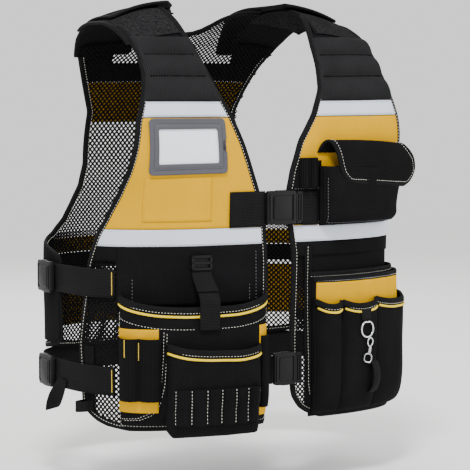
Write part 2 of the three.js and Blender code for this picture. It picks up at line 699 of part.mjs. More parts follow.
// A band sewn down between its tubes, so that each tube is open at both ends.
function tubes(rows, { tubes: count, depth, wall }, face, levels = [], facets = 6) {
  const lift = (across, up, s, t) => {
    const place = (across * count) % 1;
    return face(s, t) + CLOTH.gap + depth * Math.sin(Math.PI * place) ** 0.7;
  };
  return cloth({ rows, lift, thickness: wall, columns: count * facets, levels });
}

function toolSleeves() {
  const group = new THREE.Group();
  const { left, width, top, height } = SLEEVES;
  const foot = -top - height;
  const face = (s, t) => toolPouchFace(s, t) + CLOTH.gap;
  const backing = rectangle(left - 2, left + width, foot, -top);
  const lift = (across, up, s, t) => face(s, t);
  add("sleeve_backing", "yellow", cloth({ rows: backing, lift, ...TOOL_FOLDS }), group);
  const over = (s, t) => face(s, t) + CLOTH.patch + CLOTH.gap;
  const sleeve = rectangle(left - 1, left + width - 1, foot + 14, -top - 14);
  const { levels } = TOOL_FOLDS;
  add("tool_sleeves", "woven", tubes(sleeve, SLEEVES, over, levels), group);
  const inner = SIDE_SLEEVE;
  const side = rectangle(inner.left, inner.left + inner.width, -inner.top - inner.height, -inner.top);
  add("side_sleeve", "woven", tubes(side, { ...inner, tubes: 1 }, face, levels), group);
  vest.add(group);
}

// Left chest: pen sleeves and the phone pouch under its flap

function phonePouchFace(s, t) {
  const across = clampShare((s - PHONE.left) / (PHONE.right - PHONE.left));
  const up = clampShare((heightOf(t) - heightOf(-PHONE.bottom)) / (PHONE.bottom - PHONE.top));
  return LAYER.two + CLOTH.gap + PHONE.wall + PHONE.depth * fullness(across, up, { sides: 7, foot: 0.2 });
}

const heightOf = (t) => formPoint(0, t, 1).z;

function leftChest() {
  const group = new THREE.Group();
  const foot = -PHONE.bottom;
  const rows = pouchRows(PHONE.left, PHONE.right, foot, 1);
  rows[0].from += 8;
  const lift = (across, up, s, t) => phonePouchFace(s, t) - PHONE.wall;
  const stops = pouchStops(PHONE.left, PHONE.right);
  const shell = cloth({ rows, lift, thickness: PHONE.wall, stops });
  add("phone_pouch", "woven", shell, group);
  const over = (across, up, s, t) => {
    const face = phonePouchFace(s, Math.min(t, 0)) + FLAP.gap;
    const root = clampShare((t - 4) / (FLAP.topTurn - 4));
    return face + (LAYER.two - face) * root ** 2;
  };
  const flap = [-FLAP.bottom, -FLAP.bottom * 0.6, 0, 4, 8, FLAP.topTurn].map((t) => {
    const tuck = clampShare(-t / FLAP.bottom) * 12;
    return { t, from: FLAP.left + tuck, to: FLAP.right - tuck };
  });
  const levels = rows.map((row) => row.t);
  add("phone_flap", "woven", cloth({ rows: flap, lift: over, thickness: FLAP.wall, stops, levels }), group);
  const pens = rectangle(PENS.left, PENS.right, -PENS.bottom, PENS.topTurn);
  add("pen_sleeves", "woven", tubes(pens, PENS, () => LAYER.two), group);
  vest.add(group);
}

// Left pockets: a rear pocket, a shallow one and three with scalloped rims, one before the other

function pocketFace(pocket, s, t, below) {
  const across = clampShare((s - pocket.left) / (pocket.right - pocket.left));
  const foot = -FRONT.drop + pocket.margin;
  const up = clampShare((t - foot) / (-pocket.top - foot));
  return below + pocket.wall + pocket.depth * fullness(across, up, { sides: 6, foot: 0.3 });
}

const MIDDLE = {
  ...MIDDLE_POCKET,
  left: REAR_POCKET.left + MIDDLE_POCKET.inset,
  right: REAR_POCKET.right - MIDDLE_POCKET.inset,
  top: REAR_POCKET.top + MIDDLE_POCKET.lower,
  margin: REAR_POCKET.margin + MIDDLE_POCKET.inset,
};
const OUTER = {
  ...TRIPLE,
  left: MIDDLE.left + TRIPLE.inset,
  right: MIDDLE.right - TRIPLE.inset,
  margin: MIDDLE.margin + TRIPLE.inset,
};

const rearFace = (s, t) => pocketFace(REAR_POCKET, s, t, LAYER.pouch);
const middleFace = (s, t) => pocketFace(MIDDLE, s, t, rearFace(s, t) + CLOTH.gap);

function tripleFace(s, t) {
  const seams = [OUTER.left, ...TRIPLE.pleats, OUTER.right];
  const i = Math.max(1, seams.findIndex((seam) => seam > s));
  const share = clampShare((s - seams[i - 1]) / (seams[i] - seams[i - 1] || 1));
  const foot = -FRONT.drop + OUTER.margin;
  const up = clampShare((t - foot) / (-OUTER.top - foot));
  const lobe = fullness(share, up, { sides: 4, foot: 0.25 });
  return middleFace(s, t) + CLOTH.gap + TRIPLE.wall + TRIPLE.depth * lobe;
}

function lobeStops() {
  const seams = [OUTER.left, ...TRIPLE.pleats, OUTER.right];
  const shares = [0, 0.05, 0.18, 0.5, 0.82, 0.95];
  return seams.slice(1).flatMap((seam, i) => shares.map((share) => seams[i] + (seam - seams[i]) * share));
}

function leftPockets() {
  const group = new THREE.Group();
  const stops = tidied([...pouchStops(REAR_POCKET.left, REAR_POCKET.right), ...GIRTH_STATIONS], 8);
  const levels = pouchRows(0, 0, -FRONT.drop + REAR_POCKET.margin, -REAR_POCKET.top).map((row) => row.t);
  const lay = (name, finish, pocket, face, folds) => {
    const foot = -FRONT.drop + pocket.margin;
    const rows = slice(rectangle(pocket.left, pocket.right, foot, -pocket.top), foot, -pocket.top);
    const lift = (across, up, s, t) => face(s, t) - pocket.wall;
    add(name, finish, cloth({ rows, lift, thickness: pocket.wall, stops: folds, levels }), group);
  };
  lay("rear_pocket_left", "woven", REAR_POCKET, rearFace, stops);
  lay("middle_pocket_left", "yellow", MIDDLE, middleFace, stops);
  lay("triple_pocket_left", "woven", OUTER, tripleFace, tidied([...stops, ...lobeStops()], 3.5));
  vest.add(group);
}

// A closed or open bent wire
function wire(points, closed, diameter, segments) {
  const curve = new THREE.CatmullRomCurve3(points, closed, "centripetal");
  const section = new THREE.Shape(
    spaced(0, 6, 6)
      .slice(0, 6)
      .map((i) => new THREE.Vector2(Math.cos((i * Math.PI) / 3), Math.sin((i * Math.PI) / 3)))
      .map((p) => p.multiplyScalar(diameter / 2)),
  );
  return welded(new THREE.ExtrudeGeometry(section, { steps: segments, extrudePath: curve }));
}

function ringAndHook() {
  const group = new THREE.Group();
  const place = RING.place;
  const lift = tripleFace(place, -RING.top) + CLOTH.gap;
  const tabLift = (across, up, s, t) => tripleFace(s, t) + CLOTH.gap;
  const tab = rectangle(place - RING.tab / 2, place + RING.tab / 2, -RING.top, -RING.tabTop);
  add("ring_tab", "webbing", cloth({ rows: tab, lift: tabLift, thickness: CLOTH.webbing, columns: 2 }), group);
  const [x, y] = [RING.width / 2, RING.height / 2];
  const loop = [
    [-x, y],
    [0, y],
    [x, y],
    [x, 0],
    [x * 0.6, -y * 0.8],
    [0, -y],
    [-x * 0.6, -y * 0.8],
    [-x, 0],
  ].map(([a, b]) => new THREE.Vector3(a, b, RING.wire / 2));
  const ring = wire(loop, true, RING.wire, 16);
  const ringAt = -RING.top - y - RING.wire / 2 - 2 * CLOTH.gap;
  add("d_ring", "steel", seated(ring, place, ringAt, 1, lift), group);
  const [hx, hy] = [HOOK.width / 2, HOOK.length / 2];
  const bend = [
    [hx * 0.2, -hy * 0.2],
    [hx, hy * 0.1],
    [hx * 0.9, hy * 0.8],
    [0, hy],
    [-hx * 0.9, hy * 0.8],
    [-hx, hy * 0.1],
    [-hx * 0.2, -hy * 0.25],
    [0, -hy],
  ].map(([a, b]) => new THREE.Vector3(a, b, HOOK.wire / 2));
  const hook = wire(bend, false, HOOK.wire, 15);
  const hookAt = ringAt - y - HOOK.length / 2 - HOOK.wire - CLOTH.gap;
  add("snap_hook", "steel", seated(hook, place + 6, hookAt, 1, lift - 0.4), group);
  const loopTop = hookAt - HOOK.length / 2 - HOOK.wire;
  const loopRows = rectangle(place + 6, place + 6 + TAPE_LOOP.width, loopTop - TAPE_LOOP.length, loopTop);
  const stand = (across, up, s, t) =>
    tripleFace(s, t) + 2 * CLOTH.gap + TAPE_LOOP.stand * Math.sin(Math.PI * up) ** 0.6;
  const levels = spaced(loopTop - TAPE_LOOP.length, loopTop, 8);
  const hung = cloth({ rows: loopRows, lift: stand, thickness: CLOTH.webbing, columns: 1, levels });
  add("tape_loop", "webbing", hung, group);
  vest.add(group);
}

// Side straps, their buckles and the hammer loops

// Half of the whole girth at a height, from the front's centre line to the back's.
function halfGirth(t) {
  const front = quarterGirth(power(t), TORSO.frontDepth);
  const rear = quarterGirth(power(t), TORSO.backDepth);
  return front[front.length - 1].length + rear[rear.length - 1].length;
}

// Webbing lies on the front where it is sewn, and on the back's bands further round.
function strapLift(sewn) {
  return (across, up, s) => {
    const share = clampShare((Math.abs(s) - sewn - 8) / 20);
    return LAYER.one + (LAYER.two - LAYER.one) * share;
  };
}

const sewnPlace = (hand) => (hand < 0 ? SIDE_STRAP.sewnAt : REAR_POCKET.right + 4);

function sideStraps({ name, hand }) {
  const group = new THREE.Group();
  const { width, upper, lower: low, buckleAt, buckle: long, thick } = SIDE_STRAP;
  const sewn = sewnPlace(hand);
  const end = halfGirth(-upper) - buckleAt + long / 2 + 10;
  const half = halfGirth(-upper);
  const behind = GIRTH_STATIONS.map((s) => half - s).filter((s) => s > BACK.reach);
  const folds = [...GIRTH_STATIONS, sewn + 8, sewn + 28, ...behind];
  const stops = tidied([...folds, ...folds.map((s) => -s)], 4);
  const rows = strapRows(hand, sewn, end, -upper - width, -upper);
  const web = cloth({ rows, lift: strapLift(sewn), thickness: CLOTH.webbing, stops });
  add("side_webbing_" + name, "webbing", web, group);
  for (const [height, top] of [
    ["upper", upper],
    ["lower", low],
  ]) {
    const body = roundedPlate(long, width + 4, thick, 5);
    const place = [hand * buckleAt, -top - width / 2, -1, LAYER.three];
    add(`side_${height}_buckle_${name}`, "plastic", seated(welded(body), ...place), group);
  }
  vest.add(group);
}

// One belt round the back, sewn to both fronts.
function backBelt() {
  const { width, lower: low } = SIDE_STRAP;
  const half = halfGirth(-low);
  const [from, to] = [-(half - sewnPlace(-1)), half - sewnPlace(1)];
  const lift = (across, up, s) => strapLift(sewnPlace(s))(across, up, half - Math.abs(s));
  const round = GIRTH_STATIONS.slice(-4, -1).map((s) => half - s);
  const ramps = [8, 28].flatMap((n) => [sewnPlace(1) + n - half, half - sewnPlace(1) - n]);
  const more = [8, 28].map((n) => sewnPlace(-1) + n - half);
  const stops = tidied([...STATIONS, ...round, ...round.map((s) => -s), ...ramps, ...more], 4);
  const rows = rectangle(from, to, -low - width, -low);
  add("back_belt", "webbing", cloth({ rows, side: -1, lift, thickness: CLOTH.webbing, stops }));
}

// Loops for a hammer's handle, standing off each side of the front
function hammerLoop({ name, hand }) {
  const { place, top, length, loopTop } = HAMMER[name];
  const { width, stand, band } = HAMMER;
  const group = new THREE.Group();
  const rows = strapRows(hand, place, place + width, -top - length, -top);
  const stops = [-1, 1].map((way) => hand * (place + (width * (1 + way * 0.3)) / 2)).sort((a, b) => a - b);
  add("hammer_backing_" + name, "woven", cloth({ rows, lift: LAYER.one, stops }), group);
  const loop = strapRows(hand, place + 1, place + width - 1, -loopTop - band, -loopTop);
  const lift = (across) => LAYER.two + stand * Math.sin(Math.PI * across) ** 0.5;
  const hung = cloth({ rows: loop, lift, thickness: CLOTH.webbing, columns: 10 });
  add("hammer_loop_" + name, "webbing", hung, group);
  vest.add(group);
}

function strapRows(hand, from, to, bottom, top) {
  return hand < 0 ? rectangle(-to, -from, bottom, top) : rectangle(from, to, bottom, top);
}

back();
HANDS.forEach(front);
cardWindow();
chestFastening();
waistFastening();
toolPouch();
toolStrap();
nailPouch();
toolSleeves();
leftChest();
leftPockets();
ringAndHook();
HANDS.forEach(sideStraps);
backBelt();
HANDS.forEach(hammerLoop);

export default vest;
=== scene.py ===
"""Utility work vest, dressed for a plain studio.

The vest is shown as it is worn, so its cloth lies on one torso form. A place on that form is (s, t):
s is millimetres round the girth from the centre line, towards the wearer's left when positive, and t is
millimetres below the shoulder arch when negative and degrees round the arch when positive. Lift is
millimetres outwards from the form. Every length here is in millimetres until a mesh is written.
"""

import logging
import math
from dataclasses import dataclass, field
from enum import Enum
from typing import Any, Callable, Iterable, Optional, Sequence, Union

import bmesh
import bpy
import numpy as np
from mathutils import Matrix, Vector


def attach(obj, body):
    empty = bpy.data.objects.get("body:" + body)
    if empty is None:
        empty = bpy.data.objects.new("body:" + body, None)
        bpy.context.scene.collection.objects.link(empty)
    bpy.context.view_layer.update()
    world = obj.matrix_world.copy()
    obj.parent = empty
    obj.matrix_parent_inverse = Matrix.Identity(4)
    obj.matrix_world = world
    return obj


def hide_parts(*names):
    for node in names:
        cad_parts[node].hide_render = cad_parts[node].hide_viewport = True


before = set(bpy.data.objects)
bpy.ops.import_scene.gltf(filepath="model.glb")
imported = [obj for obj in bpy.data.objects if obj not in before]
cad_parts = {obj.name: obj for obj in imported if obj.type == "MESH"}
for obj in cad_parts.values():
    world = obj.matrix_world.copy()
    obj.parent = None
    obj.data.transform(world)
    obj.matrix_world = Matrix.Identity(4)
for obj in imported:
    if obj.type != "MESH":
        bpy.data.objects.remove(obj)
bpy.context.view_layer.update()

logging.basicConfig(level=logging.INFO, format="%(message)s")
log = logging.getLogger("vest")

MM = 0.001
BODY = "root"
PREFIX = "made_"  # keeps a piece's name apart from its CAD node's
DEGREE = 3.2  # millimetres of cloth to a degree of the shoulder arch
EDGE_POINTS = 120  # points along one edge in a cut's border
WAVE_TO_METRES = 0.31416  # scale at which a wave texture's bands lie one unit apart

Array = np.ndarray
Places = Sequence[tuple[float, float]]
Amount = Union[float, Callable[[Array, Array], Array]]


class Side(Enum):
    """Which centre line a place is counted from."""

    FRONT = 1
    BACK = -1


class Hand(Enum):
    """The wearer's hand, as the sign of its X."""

    RIGHT = -1
    LEFT = 1

    @property
    def word(self) -> str:
        """The hand's name in lower case."""
        return self.name.lower()

    def mirrored(self, inner: float, outer: float) -> list[float]:
        """Two distances from the middle as places on this hand's side, from right to left."""
        return sorted((self.value * inner, self.value * outer))


# Torso form


@dataclass
class TorsoForm:
    """The rounded block that all cloth lies on: a waist, a squarer chest and a shoulder arch."""

    half_width: float = 236
    front_depth: float = 146
    back_depth: float = 172
    arch_height: float = 214
    shoulder_drop: float = 28
    neck_side: float = 95
    arm_side: float = 205
    waist_power: float = 3
    chest_power: float = 6
    back_arch_power: float = 2.6
    waist_line: float = 61
    chest_turn: float = 23
    powers: int = 49
    samples: int = 1401
    slack: float = 0.55  # how far worn cloth wanders from the form

    def __post_init__(self) -> None:
        """Tables half the girth, from the front's centre line to the back's, for each roundness."""
        rows = [self._half_girth(p) for p in np.linspace(self.waist_power, self.chest_power, self.powers)]
        self._x = np.stack([row[0] for row in rows])
        self._y = np.stack([row[1] for row in rows])
        self._half = np.array([row[2] for row in rows])

    def _half_girth(self, power: float) -> tuple[Array, Array, float]:
        """Half of a rounded girth as even samples.

        Args:
            power: Roundness, 2 for an ellipse and more for a squarer girth.

        Returns:
            The X and forward Y of each sample, and the length of the half girth.
        """
        angle = np.linspace(0, math.pi / 2, 2001)
        sine, cosine = np.sin(angle) ** (2 / power), np.clip(np.cos(angle), 0, 1) ** (2 / power)
        x = np.concatenate([self.half_width * sine, self.half_width * sine[::-1][1:]])
        y = np.concatenate([self.front_depth * cosine, -self.back_depth * cosine[::-1][1:]])
        length = np.concatenate([[0], np.cumsum(np.hypot(np.diff(x), np.diff(y)))])
        even = np.linspace(0, length[-1], self.samples)
        return np.interp(even, length, x), np.interp(even, length, y), float(length[-1])

    def _roundness(self, t: Array) -> Array:
        """Row of the tables for each height, as a fraction."""
        rise = self.arch_height * np.sin(np.radians(np.maximum(t, 0)))
        span = self.waist_line + self.arch_height * math.sin(math.radians(self.chest_turn))
        share = np.clip((self.waist_line + np.where(t < 0, t, rise)) / span, 0, 1)
        return share * share * (3 - 2 * share) * (self.powers - 1)

    def arch_over(self, x: Array) -> Array:
        """Height of the shoulder arch at a distance from the middle plane, less towards the arm."""
        out = np.maximum(x - self.neck_side, 0) / (self.arm_side - self.neck_side)
        return self.arch_height - self.shoulder_drop * np.minimum(out, 1.1) ** 2

    def half_girth(self, t: float) -> float:
        """Half the girth at a height."""
        return float(np.interp(self._roundness(np.array([t]))[0], np.arange(self.powers), self._half))

    def point(self, s: Array, t: Array, side: Side) -> Array:
        """Places on the form in space.

        Args:
            s: Millimetres round the girth.
            t: Heights, as the module's text says.
            side: The centre line that s is counted from.

        Returns:
            One point a row, in millimetres.
        """
        s, t = np.broadcast_arrays(np.asarray(s, float), np.asarray(t, float))
        way = np.where(t > 90, -side.value, side.value)
        t = np.where(t > 90, 180 - t, t)
        row = self._roundness(t)
        low = np.minimum(row.astype(int), self.powers - 2)
        mix = row - low
        half = self._half[low] * (1 - mix) + self._half[low + 1] * mix
        along = np.clip(np.abs(s) / half, 0, 1)
        column = np.where(way > 0, along, 1 - along) * (self.samples - 1)
        left = np.minimum(column.astype(int), self.samples - 2)
        step = column - left

        def looked_up(table: Array) -> Array:
            """The table's value between its four nearest samples."""
            one = table[low, left] * (1 - step) + table[low, left + 1] * step
            two = table[low + 1, left] * (1 - step) + table[low + 1, left + 1] * step
            return one * (1 - mix) + two * mix

        x, forward = looked_up(self._x), looked_up(self._y)
        turn = np.radians(np.maximum(t, 0))
        height = self.arch_over(x)
        cosine = np.clip(np.cos(turn), 0, 1)
        lean = np.where(way > 0, cosine, cosine ** (2 / self.back_arch_power))
        z = np.where(t <= 0, t, height * np.sin(turn)) - self.arch_height
        return np.stack([np.sign(s) * x, -forward * lean, z], axis=-1)

    def normal(self, s: Array, t: Array, side: Side, step: float = 0.5) -> Array:
        """Outward normals at places on the form."""
        across = self.point(s + step, t, side) - self.point(s - step, t, side)
        up = self.point(s, t + step, side) - self.point(s, t - step, side)
        normal = np.cross(across, up) * side.value
        return normal / np.maximum(np.linalg.norm(normal, axis=-1, keepdims=True), 1e-9)

    def wander(self, s: Array, t: Array, side: Side) -> Array:
        """Slow hollows and swells of worn cloth, the same for all layers at one place."""
        v = np.where(t < 0, t, t * DEGREE)
        far = 0.7 * side.value
        long_wave = np.sin(s / 31 + v / 57 + far)
        cross_wave = np.sin(v / 23 - s / 71 + 2 * far)
        short_wave = np.sin(s / 17 + v / 29)
        return self.slack * (long_wave + cross_wave + 0.6 * short_wave)

    def lifted(self, s: Array, t: Array, side: Side, lift: Array) -> Array:
        """Points that stand off the form by the lift."""
        high = np.asarray(lift, float) + self.wander(s, t, side)
        return self.point(s, t, side) + self.normal(s, t, side) * high[..., None]

    def seat(self, s: float, t: float, side: Side, lift: float, turn: float = 0) -> Matrix:
        """Frame for a rigid piece: X across, Y up and Z outwards.

        Args:
            s: Place round the girth.
            t: Height.
            side: The centre line that s is counted from.
            lift: Distance off the form.
            turn: Degrees that the piece is turned, anticlockwise from outside.

        Returns:
            A matrix from the piece's own millimetres to the frame's.
        """
        place = np.array([s]), np.array([t])
        out = Vector(self.normal(*place, side)[0])
        before, after = (self.point(place[0] + step, place[1], side)[0] for step in (-1, 1))
        across = Vector(after - before) * side.value
        across = (across - out * across.dot(out)).normalized()
        up = out.cross(across)
        basis = Matrix((across, up, out)).transposed().to_4x4()
        basis.translation = Vector(self.lifted(*place, side, np.array([lift]))[0])
        return basis @ Matrix.Rotation(math.radians(turn), 4, "Z")


FORM = TorsoForm()


def share(value: Array, low: float = 0.0, high: float = 1.0) -> Array:
    """How far a value is from low to high, held between 0 and 1."""
    return np.clip((np.asarray(value, float) - low) / (high - low), 0, 1)


def eased(value: Array, low: float = 0.0, high: float = 1.0) -> Array:
    """As share, but starting and ending softly."""
    part = share(value, low, high)
    return part * part * (3 - 2 * part)


def amount(value: Amount, s: Array, t: Array) -> Array:
    """A number or a function of the place, as an array."""
    return value(s, t) if callable(value) else np.full(np.shape(s), float(value))


def height_turned(v: Array) -> Array:
    """Height t of a cloth height v in millimetres."""
    return np.where(v < 0, v, v / DEGREE)


def height_flat(t: Array) -> Array:
    """Cloth height v in millimetres of a height t."""
    return np.where(np.asarray(t) < 0, t, np.asarray(t, float) * DEGREE)


def lower(t: float, length: float) -> float:
    """The height t that lies a length further down."""
    above = float(FORM.point(np.array([0.0]), np.array([t]), Side.FRONT)[0, 2]) - length + FORM.arch_height
    return above if above <= 0 else math.degrees(math.asin(above / FORM.arch_height))


def rescaled(v: Array, ratio: Array, limit: float) -> Array:
    """Cloth height whose sine is a ratio of another's, held under a limit."""
    sine = np.sin(np.radians(height_turned(np.maximum(v, 0)))) * ratio
    return np.where(v <= 0, v, height_flat(np.degrees(np.arcsin(np.clip(sine, 0, limit)))))


def arch_ratio(s: Array, v: Array) -> Array:
    """Height of the flat part of the shoulder over that of the arch at a place."""
    x = FORM.point(s, height_turned(v), Side.FRONT)[..., 0]
    return FORM.arch_height / FORM.arch_over(np.abs(x))


def levelled(s: Array, v: Array) -> Array:
    """Cloth height at a place that is as high as the flat part of the shoulder is at height v."""
    return rescaled(v, arch_ratio(s, v), 0.985)


def unlevelled(s: Array, v: Array) -> Array:
    """The height v that levelled turns into the one given."""
    return rescaled(v, 1 / arch_ratio(s, v), 0.999)


# Cuts of cloth


@dataclass
class Cut:
    """A flat cut of cloth: rows of height, from and to, low to high, and which side it lies on."""

    rows: list[tuple[float, float, float]]
    side: Side = Side.FRONT
    rim: Optional[Callable[[Array], Array]] = None  # rise of the top edge along it
    foot: Optional[Callable[[Array], Array]] = None  # rise of the bottom edge along it
    soften: float = 5.0  # millimetres of height over which corners of the edges are rounded

    def __post_init__(self) -> None:
        """Tables both edges finely, with their corners rounded."""
        v = height_flat(np.array([row[0] for row in self.rows]))
        self.low, self.high = float(v[0]), float(v[-1])
        self._v = np.linspace(self.low, self.high, 400)
        step = (self.high - self.low) / 399
        reach = min(max(1, int(self.soften / step)), 150)
        kernel = np.hanning(2 * reach + 3)[1:-1]
        kernel /= kernel.sum()

        def softened(column: int) -> Array:
            """One edge, smoothed but ending where it did."""
            line = np.interp(self._v, v, [row[column] for row in self.rows])
            first, last = 2 * line[0] - line[reach:0:-1], 2 * line[-1] - line[-2 : -reach - 2 : -1]
            return np.convolve(np.concatenate([first, line, last]), kernel, "valid")

        self._from, self._to = softened(1), softened(2)

    def edges(self, v: Array) -> tuple[Array, Array]:
        """Both edges at cloth heights."""
        return np.interp(v, self._v, self._from), np.interp(v, self._v, self._to)

    def place(self, a: Array, b: Array) -> tuple[Array, Array]:
        """Place (s, v) of shares across and up the cut."""
        v = self.low + (self.high - self.low) * b
        start, end = self.edges(v)
        s = start + (end - start) * a
        if self.rim:
            v = v + self.rim(s) * eased(b, 0.55, 1)
        if self.foot:
            v = v + self.foot(s) * eased(1 - b, 0.55, 1)
        return s, v

    def band(self, bottom: float, top: float, margin: float = 0.0, level: bool = False) -> "Cut":
        """The part of the cut between two heights, taken in at both edges."""
        v = np.linspace(float(height_flat(bottom)), float(height_flat(top)), 60)
        start, end = self.edges(v)
        if level:
            start, end = self.edges(levelled(start, v))[0], self.edges(levelled(end, v))[1]
        rows = [(float(height_turned(h)), a + margin, b - margin) for h, a, b in zip(v, start, end)]
        return LevelCut(rows, self.side, soften=0.5) if level else Cut(rows, self.side, soften=0.5)

    @property
    def flat(self) -> tuple[float, float]:
        """Width and length of the cloth that the cut is made from, in metres."""
        return float(self._to.max() - self._from.min()) * MM, (self.high - self.low) * MM

    @property
    def area(self) -> float:
        """Flat area in square metres."""
        return float(np.mean(self._to - self._from)) * (self.high - self.low) * MM * MM

    def border(self, inset: float, top: Optional[float] = None, hem: bool = True) -> list:
        """A line inside the two edges and the hem, from the top of the first edge round to the other's.

        Args:
            inset: Distance inside the edges.
            top: Height to start and end at, or the cut's top.
            hem: Whether the line runs along the hem too.

        Returns:
            Places (s, t) along the line.
        """
        high = self.high if top is None else float(height_flat(top))
        v = np.linspace(self.low + inset, high, EDGE_POINTS)
        start, end = self.edges(v)
        slope_start = np.hypot(1, np.gradient(start, v))
        slope_end = np.hypot(1, np.gradient(end, v))
        left = list(zip(start + inset * np.minimum(slope_start, 2.2), height_turned(v)))
        right = list(zip(end - inset * np.minimum(slope_end, 2.2), height_turned(v)))
        if not hem:
            return left[::-1] + right
        keep = [i for i, p in enumerate(left) if p[0] < right[i][0]]
        first = left[keep[0] :][::-1]
        last = right[keep[0] :]
        middle = np.linspace(first[-1][0], last[0][0], 40)[1:-1]
        return first + [(float(s), float(height_turned(np.array(self.low + inset)))) for s in middle] + last


class LevelCut(Cut):
    """A cut whose rows keep one real height, so that they climb the arch where the shoulder drops."""

    def place(self, a: Array, b: Array) -> tuple[Array, Array]:
        """Place (s, v) of shares across and up the cut."""
        s, v = super().place(a, b)
        return s, levelled(s, v)


def rectangle(start: float, end: float, bottom: float, top: float, **more: Any) -> Cut:
    """A plain oblong cut."""
    return Cut([(bottom, start, end), (top, start, end)], soften=0.5, **more)


@dataclass(frozen=True)
class Outline:
    """Outline of a piece: rows of drop share or turn, with both edges as shares of a reach."""

    drop: float
    reach: float
    hung: Sequence[tuple[float, float, float]] = ()
    turned: Sequence[tuple[float, float, float]] = ()

    def cut(self, hand: Optional[Hand], side: Side = Side.FRONT) -> Cut:
        """The cut for one hand, or for the whole width when there is none."""
        rows = [(-hang * self.drop, inner, outer) for hang, inner, outer in self.hung]
        rows += list(self.turned)
        if hand is Hand.RIGHT:
            return Cut([(t, -b * self.reach, -a * self.reach) for t, a, b in rows], side)
        return Cut([(t, a * self.reach, b * self.reach) for t, a, b in rows], side)


FRONT_RIGHT = Outline(
    341,
    291,
    [
        (1.0, 0.069, 0.56), (0.994, 0.069, 0.72), (0.982, 0.069, 0.818), (0.962, 0.069, 0.904),
        (0.93, 0.069, 0.962), (0.9, 0.069, 0.986), (0.674, 0.058, 1.0), (0.358, 0.055, 0.935),
        (0.246, 0.06, 0.88), (0.179, 0.066, 0.832), (0.088, 0.094, 0.78),
    ],
    [
        (0, 0.13, 0.742), (10, 0.172, 0.717), (20, 0.222, 0.7), (30, 0.282, 0.66),
        (40, 0.318, 0.63), (50, 0.342, 0.624), (60, 0.353, 0.629), (75, 0.364, 0.643),
    ],
)
FRONT_LEFT = Outline(
    341,
    291,
    [
        (0.994, 0.27, 0.72), (0.977, 0.179, 0.84), (0.947, 0.117, 0.93), (0.897, 0.079, 0.975),
        (0.856, 0.072, 0.99), (0.674, 0.072, 1.0), (0.331, 0.082, 0.93), (0.22, 0.062, 0.865),
        (0.179, 0.056, 0.83), (0.088, 0.05, 0.79),
    ],
    [
        (0, 0.07, 0.757), (10, 0.118, 0.747), (20, 0.209, 0.741), (30, 0.27, 0.72),
        (40, 0.289, 0.7), (50, 0.298, 0.692), (60, 0.32, 0.688), (75, 0.355, 0.68),
    ],
)
FRONT_LEFT_CUT = FRONT_LEFT.cut(Hand.LEFT)
BACK_WHOLE = Outline(
    263,
    327,
    [
        (1.0, -0.22, 0.22), (0.97, -0.56, 0.56), (0.925, -0.86, 0.86), (0.886, -1.0, 1.0),
        (0.452, -0.99, 0.99), (0.376, -0.66, 0.66), (0.293, -0.545, 0.545), (0.232, -0.5, 0.5),
        (0.114, -0.425, 0.425),
    ],
    [(0, -0.39, 0.39), (20, -0.375, 0.375), (40, -0.45, 0.45), (54, -0.505, 0.505)],
)
STRAP = Outline(341, 291, (), [(57.6, 0.355, 0.645), (75, 0.364, 0.66), (90, 0.35, 0.66), (112, 0.32, 0.62)])
BACK_STRAP = Outline(
    263,
    327,
    (),
    [
        (46, 0.22, 0.485), (58, 0.2, 0.515), (66, 0.185, 0.525), (74, 0.17, 0.535),
        (84, 0.19, 0.55), (96, 0.28, 0.55),
    ],
)


@dataclass(frozen=True)
class Layers:
    """Lifts of the layers of cloth over the form."""

    net: float = 2.0
    one: float = 2.4
    two: float = 4.4
    three: float = 6.6
    pouch: float = 2.8


LAYER = Layers()
GAP = 0.4


# Materials


def linear(hex_colour: str) -> tuple[float, float, float, float]:
    """An sRGB hex colour as linear light with full alpha."""
    parts = [int(hex_colour[i : i + 2], 16) / 255 for i in (0, 2, 4)]
    light = [c / 12.92 if c <= 0.04045 else ((c + 0.055) / 1.055) ** 2.4 for c in parts]
    return light[0], light[1], light[2], 1.0


def add_node(
    tree: bpy.types.NodeTree, kind: str, inputs: Optional[dict] = None, **settings: Any
) -> bpy.types.Node:
    """Adds a node with its settings, values and links.

    Args:
        tree: The node tree to add to.
        kind: Blender's name for the node.
        inputs: Socket name or number to a value, or to the output socket that feeds it.
        settings: Properties of the node.

    Returns:
        The node.
    """
    node = tree.nodes.new(kind)
    for name, value in settings.items():
        setattr(node, name, value)
    for key, value in (inputs or {}).items():
        socket = node.inputs[key]
        if isinstance(value, bpy.types.NodeSocket):
            tree.links.new(value, socket)
        else:
            socket.default_value = value
    return node


def ranged(
    tree: bpy.types.NodeTree,
    value: bpy.types.NodeSocket,
    start: float,
    end: float,
    low: float = 0.0,
    high: float = 1.0,
) -> bpy.types.NodeSocket:
    """Maps a value between start and end to one between low and high, held at both ends."""
    limits = {"Value": value, "From Min": start, "From Max": end, "To Min": low, "To Max": high}
    return add_node(tree, "ShaderNodeMapRange", limits).outputs[0]


def mixed_colour(
    tree: bpy.types.NodeTree, factor: bpy.types.NodeSocket, low: str, high: str
) -> bpy.types.NodeSocket:
    """Mixes two hex colours."""
    inputs = {0: factor, 6: linear(low), 7: linear(high)}
    return add_node(tree, "ShaderNodeMix", inputs, data_type="RGBA").outputs[2]


def turned_cloth(
    tree: bpy.types.NodeTree, where: bpy.types.Node, degrees: float
) -> bpy.types.NodeSocket:
    """The cloth's own UV map, turned."""
    inputs = {"Vector": where.outputs["UV"], "Rotation": (0, 0, math.radians(degrees))}
    return add_node(tree, "ShaderNodeMapping", inputs).outputs[0]


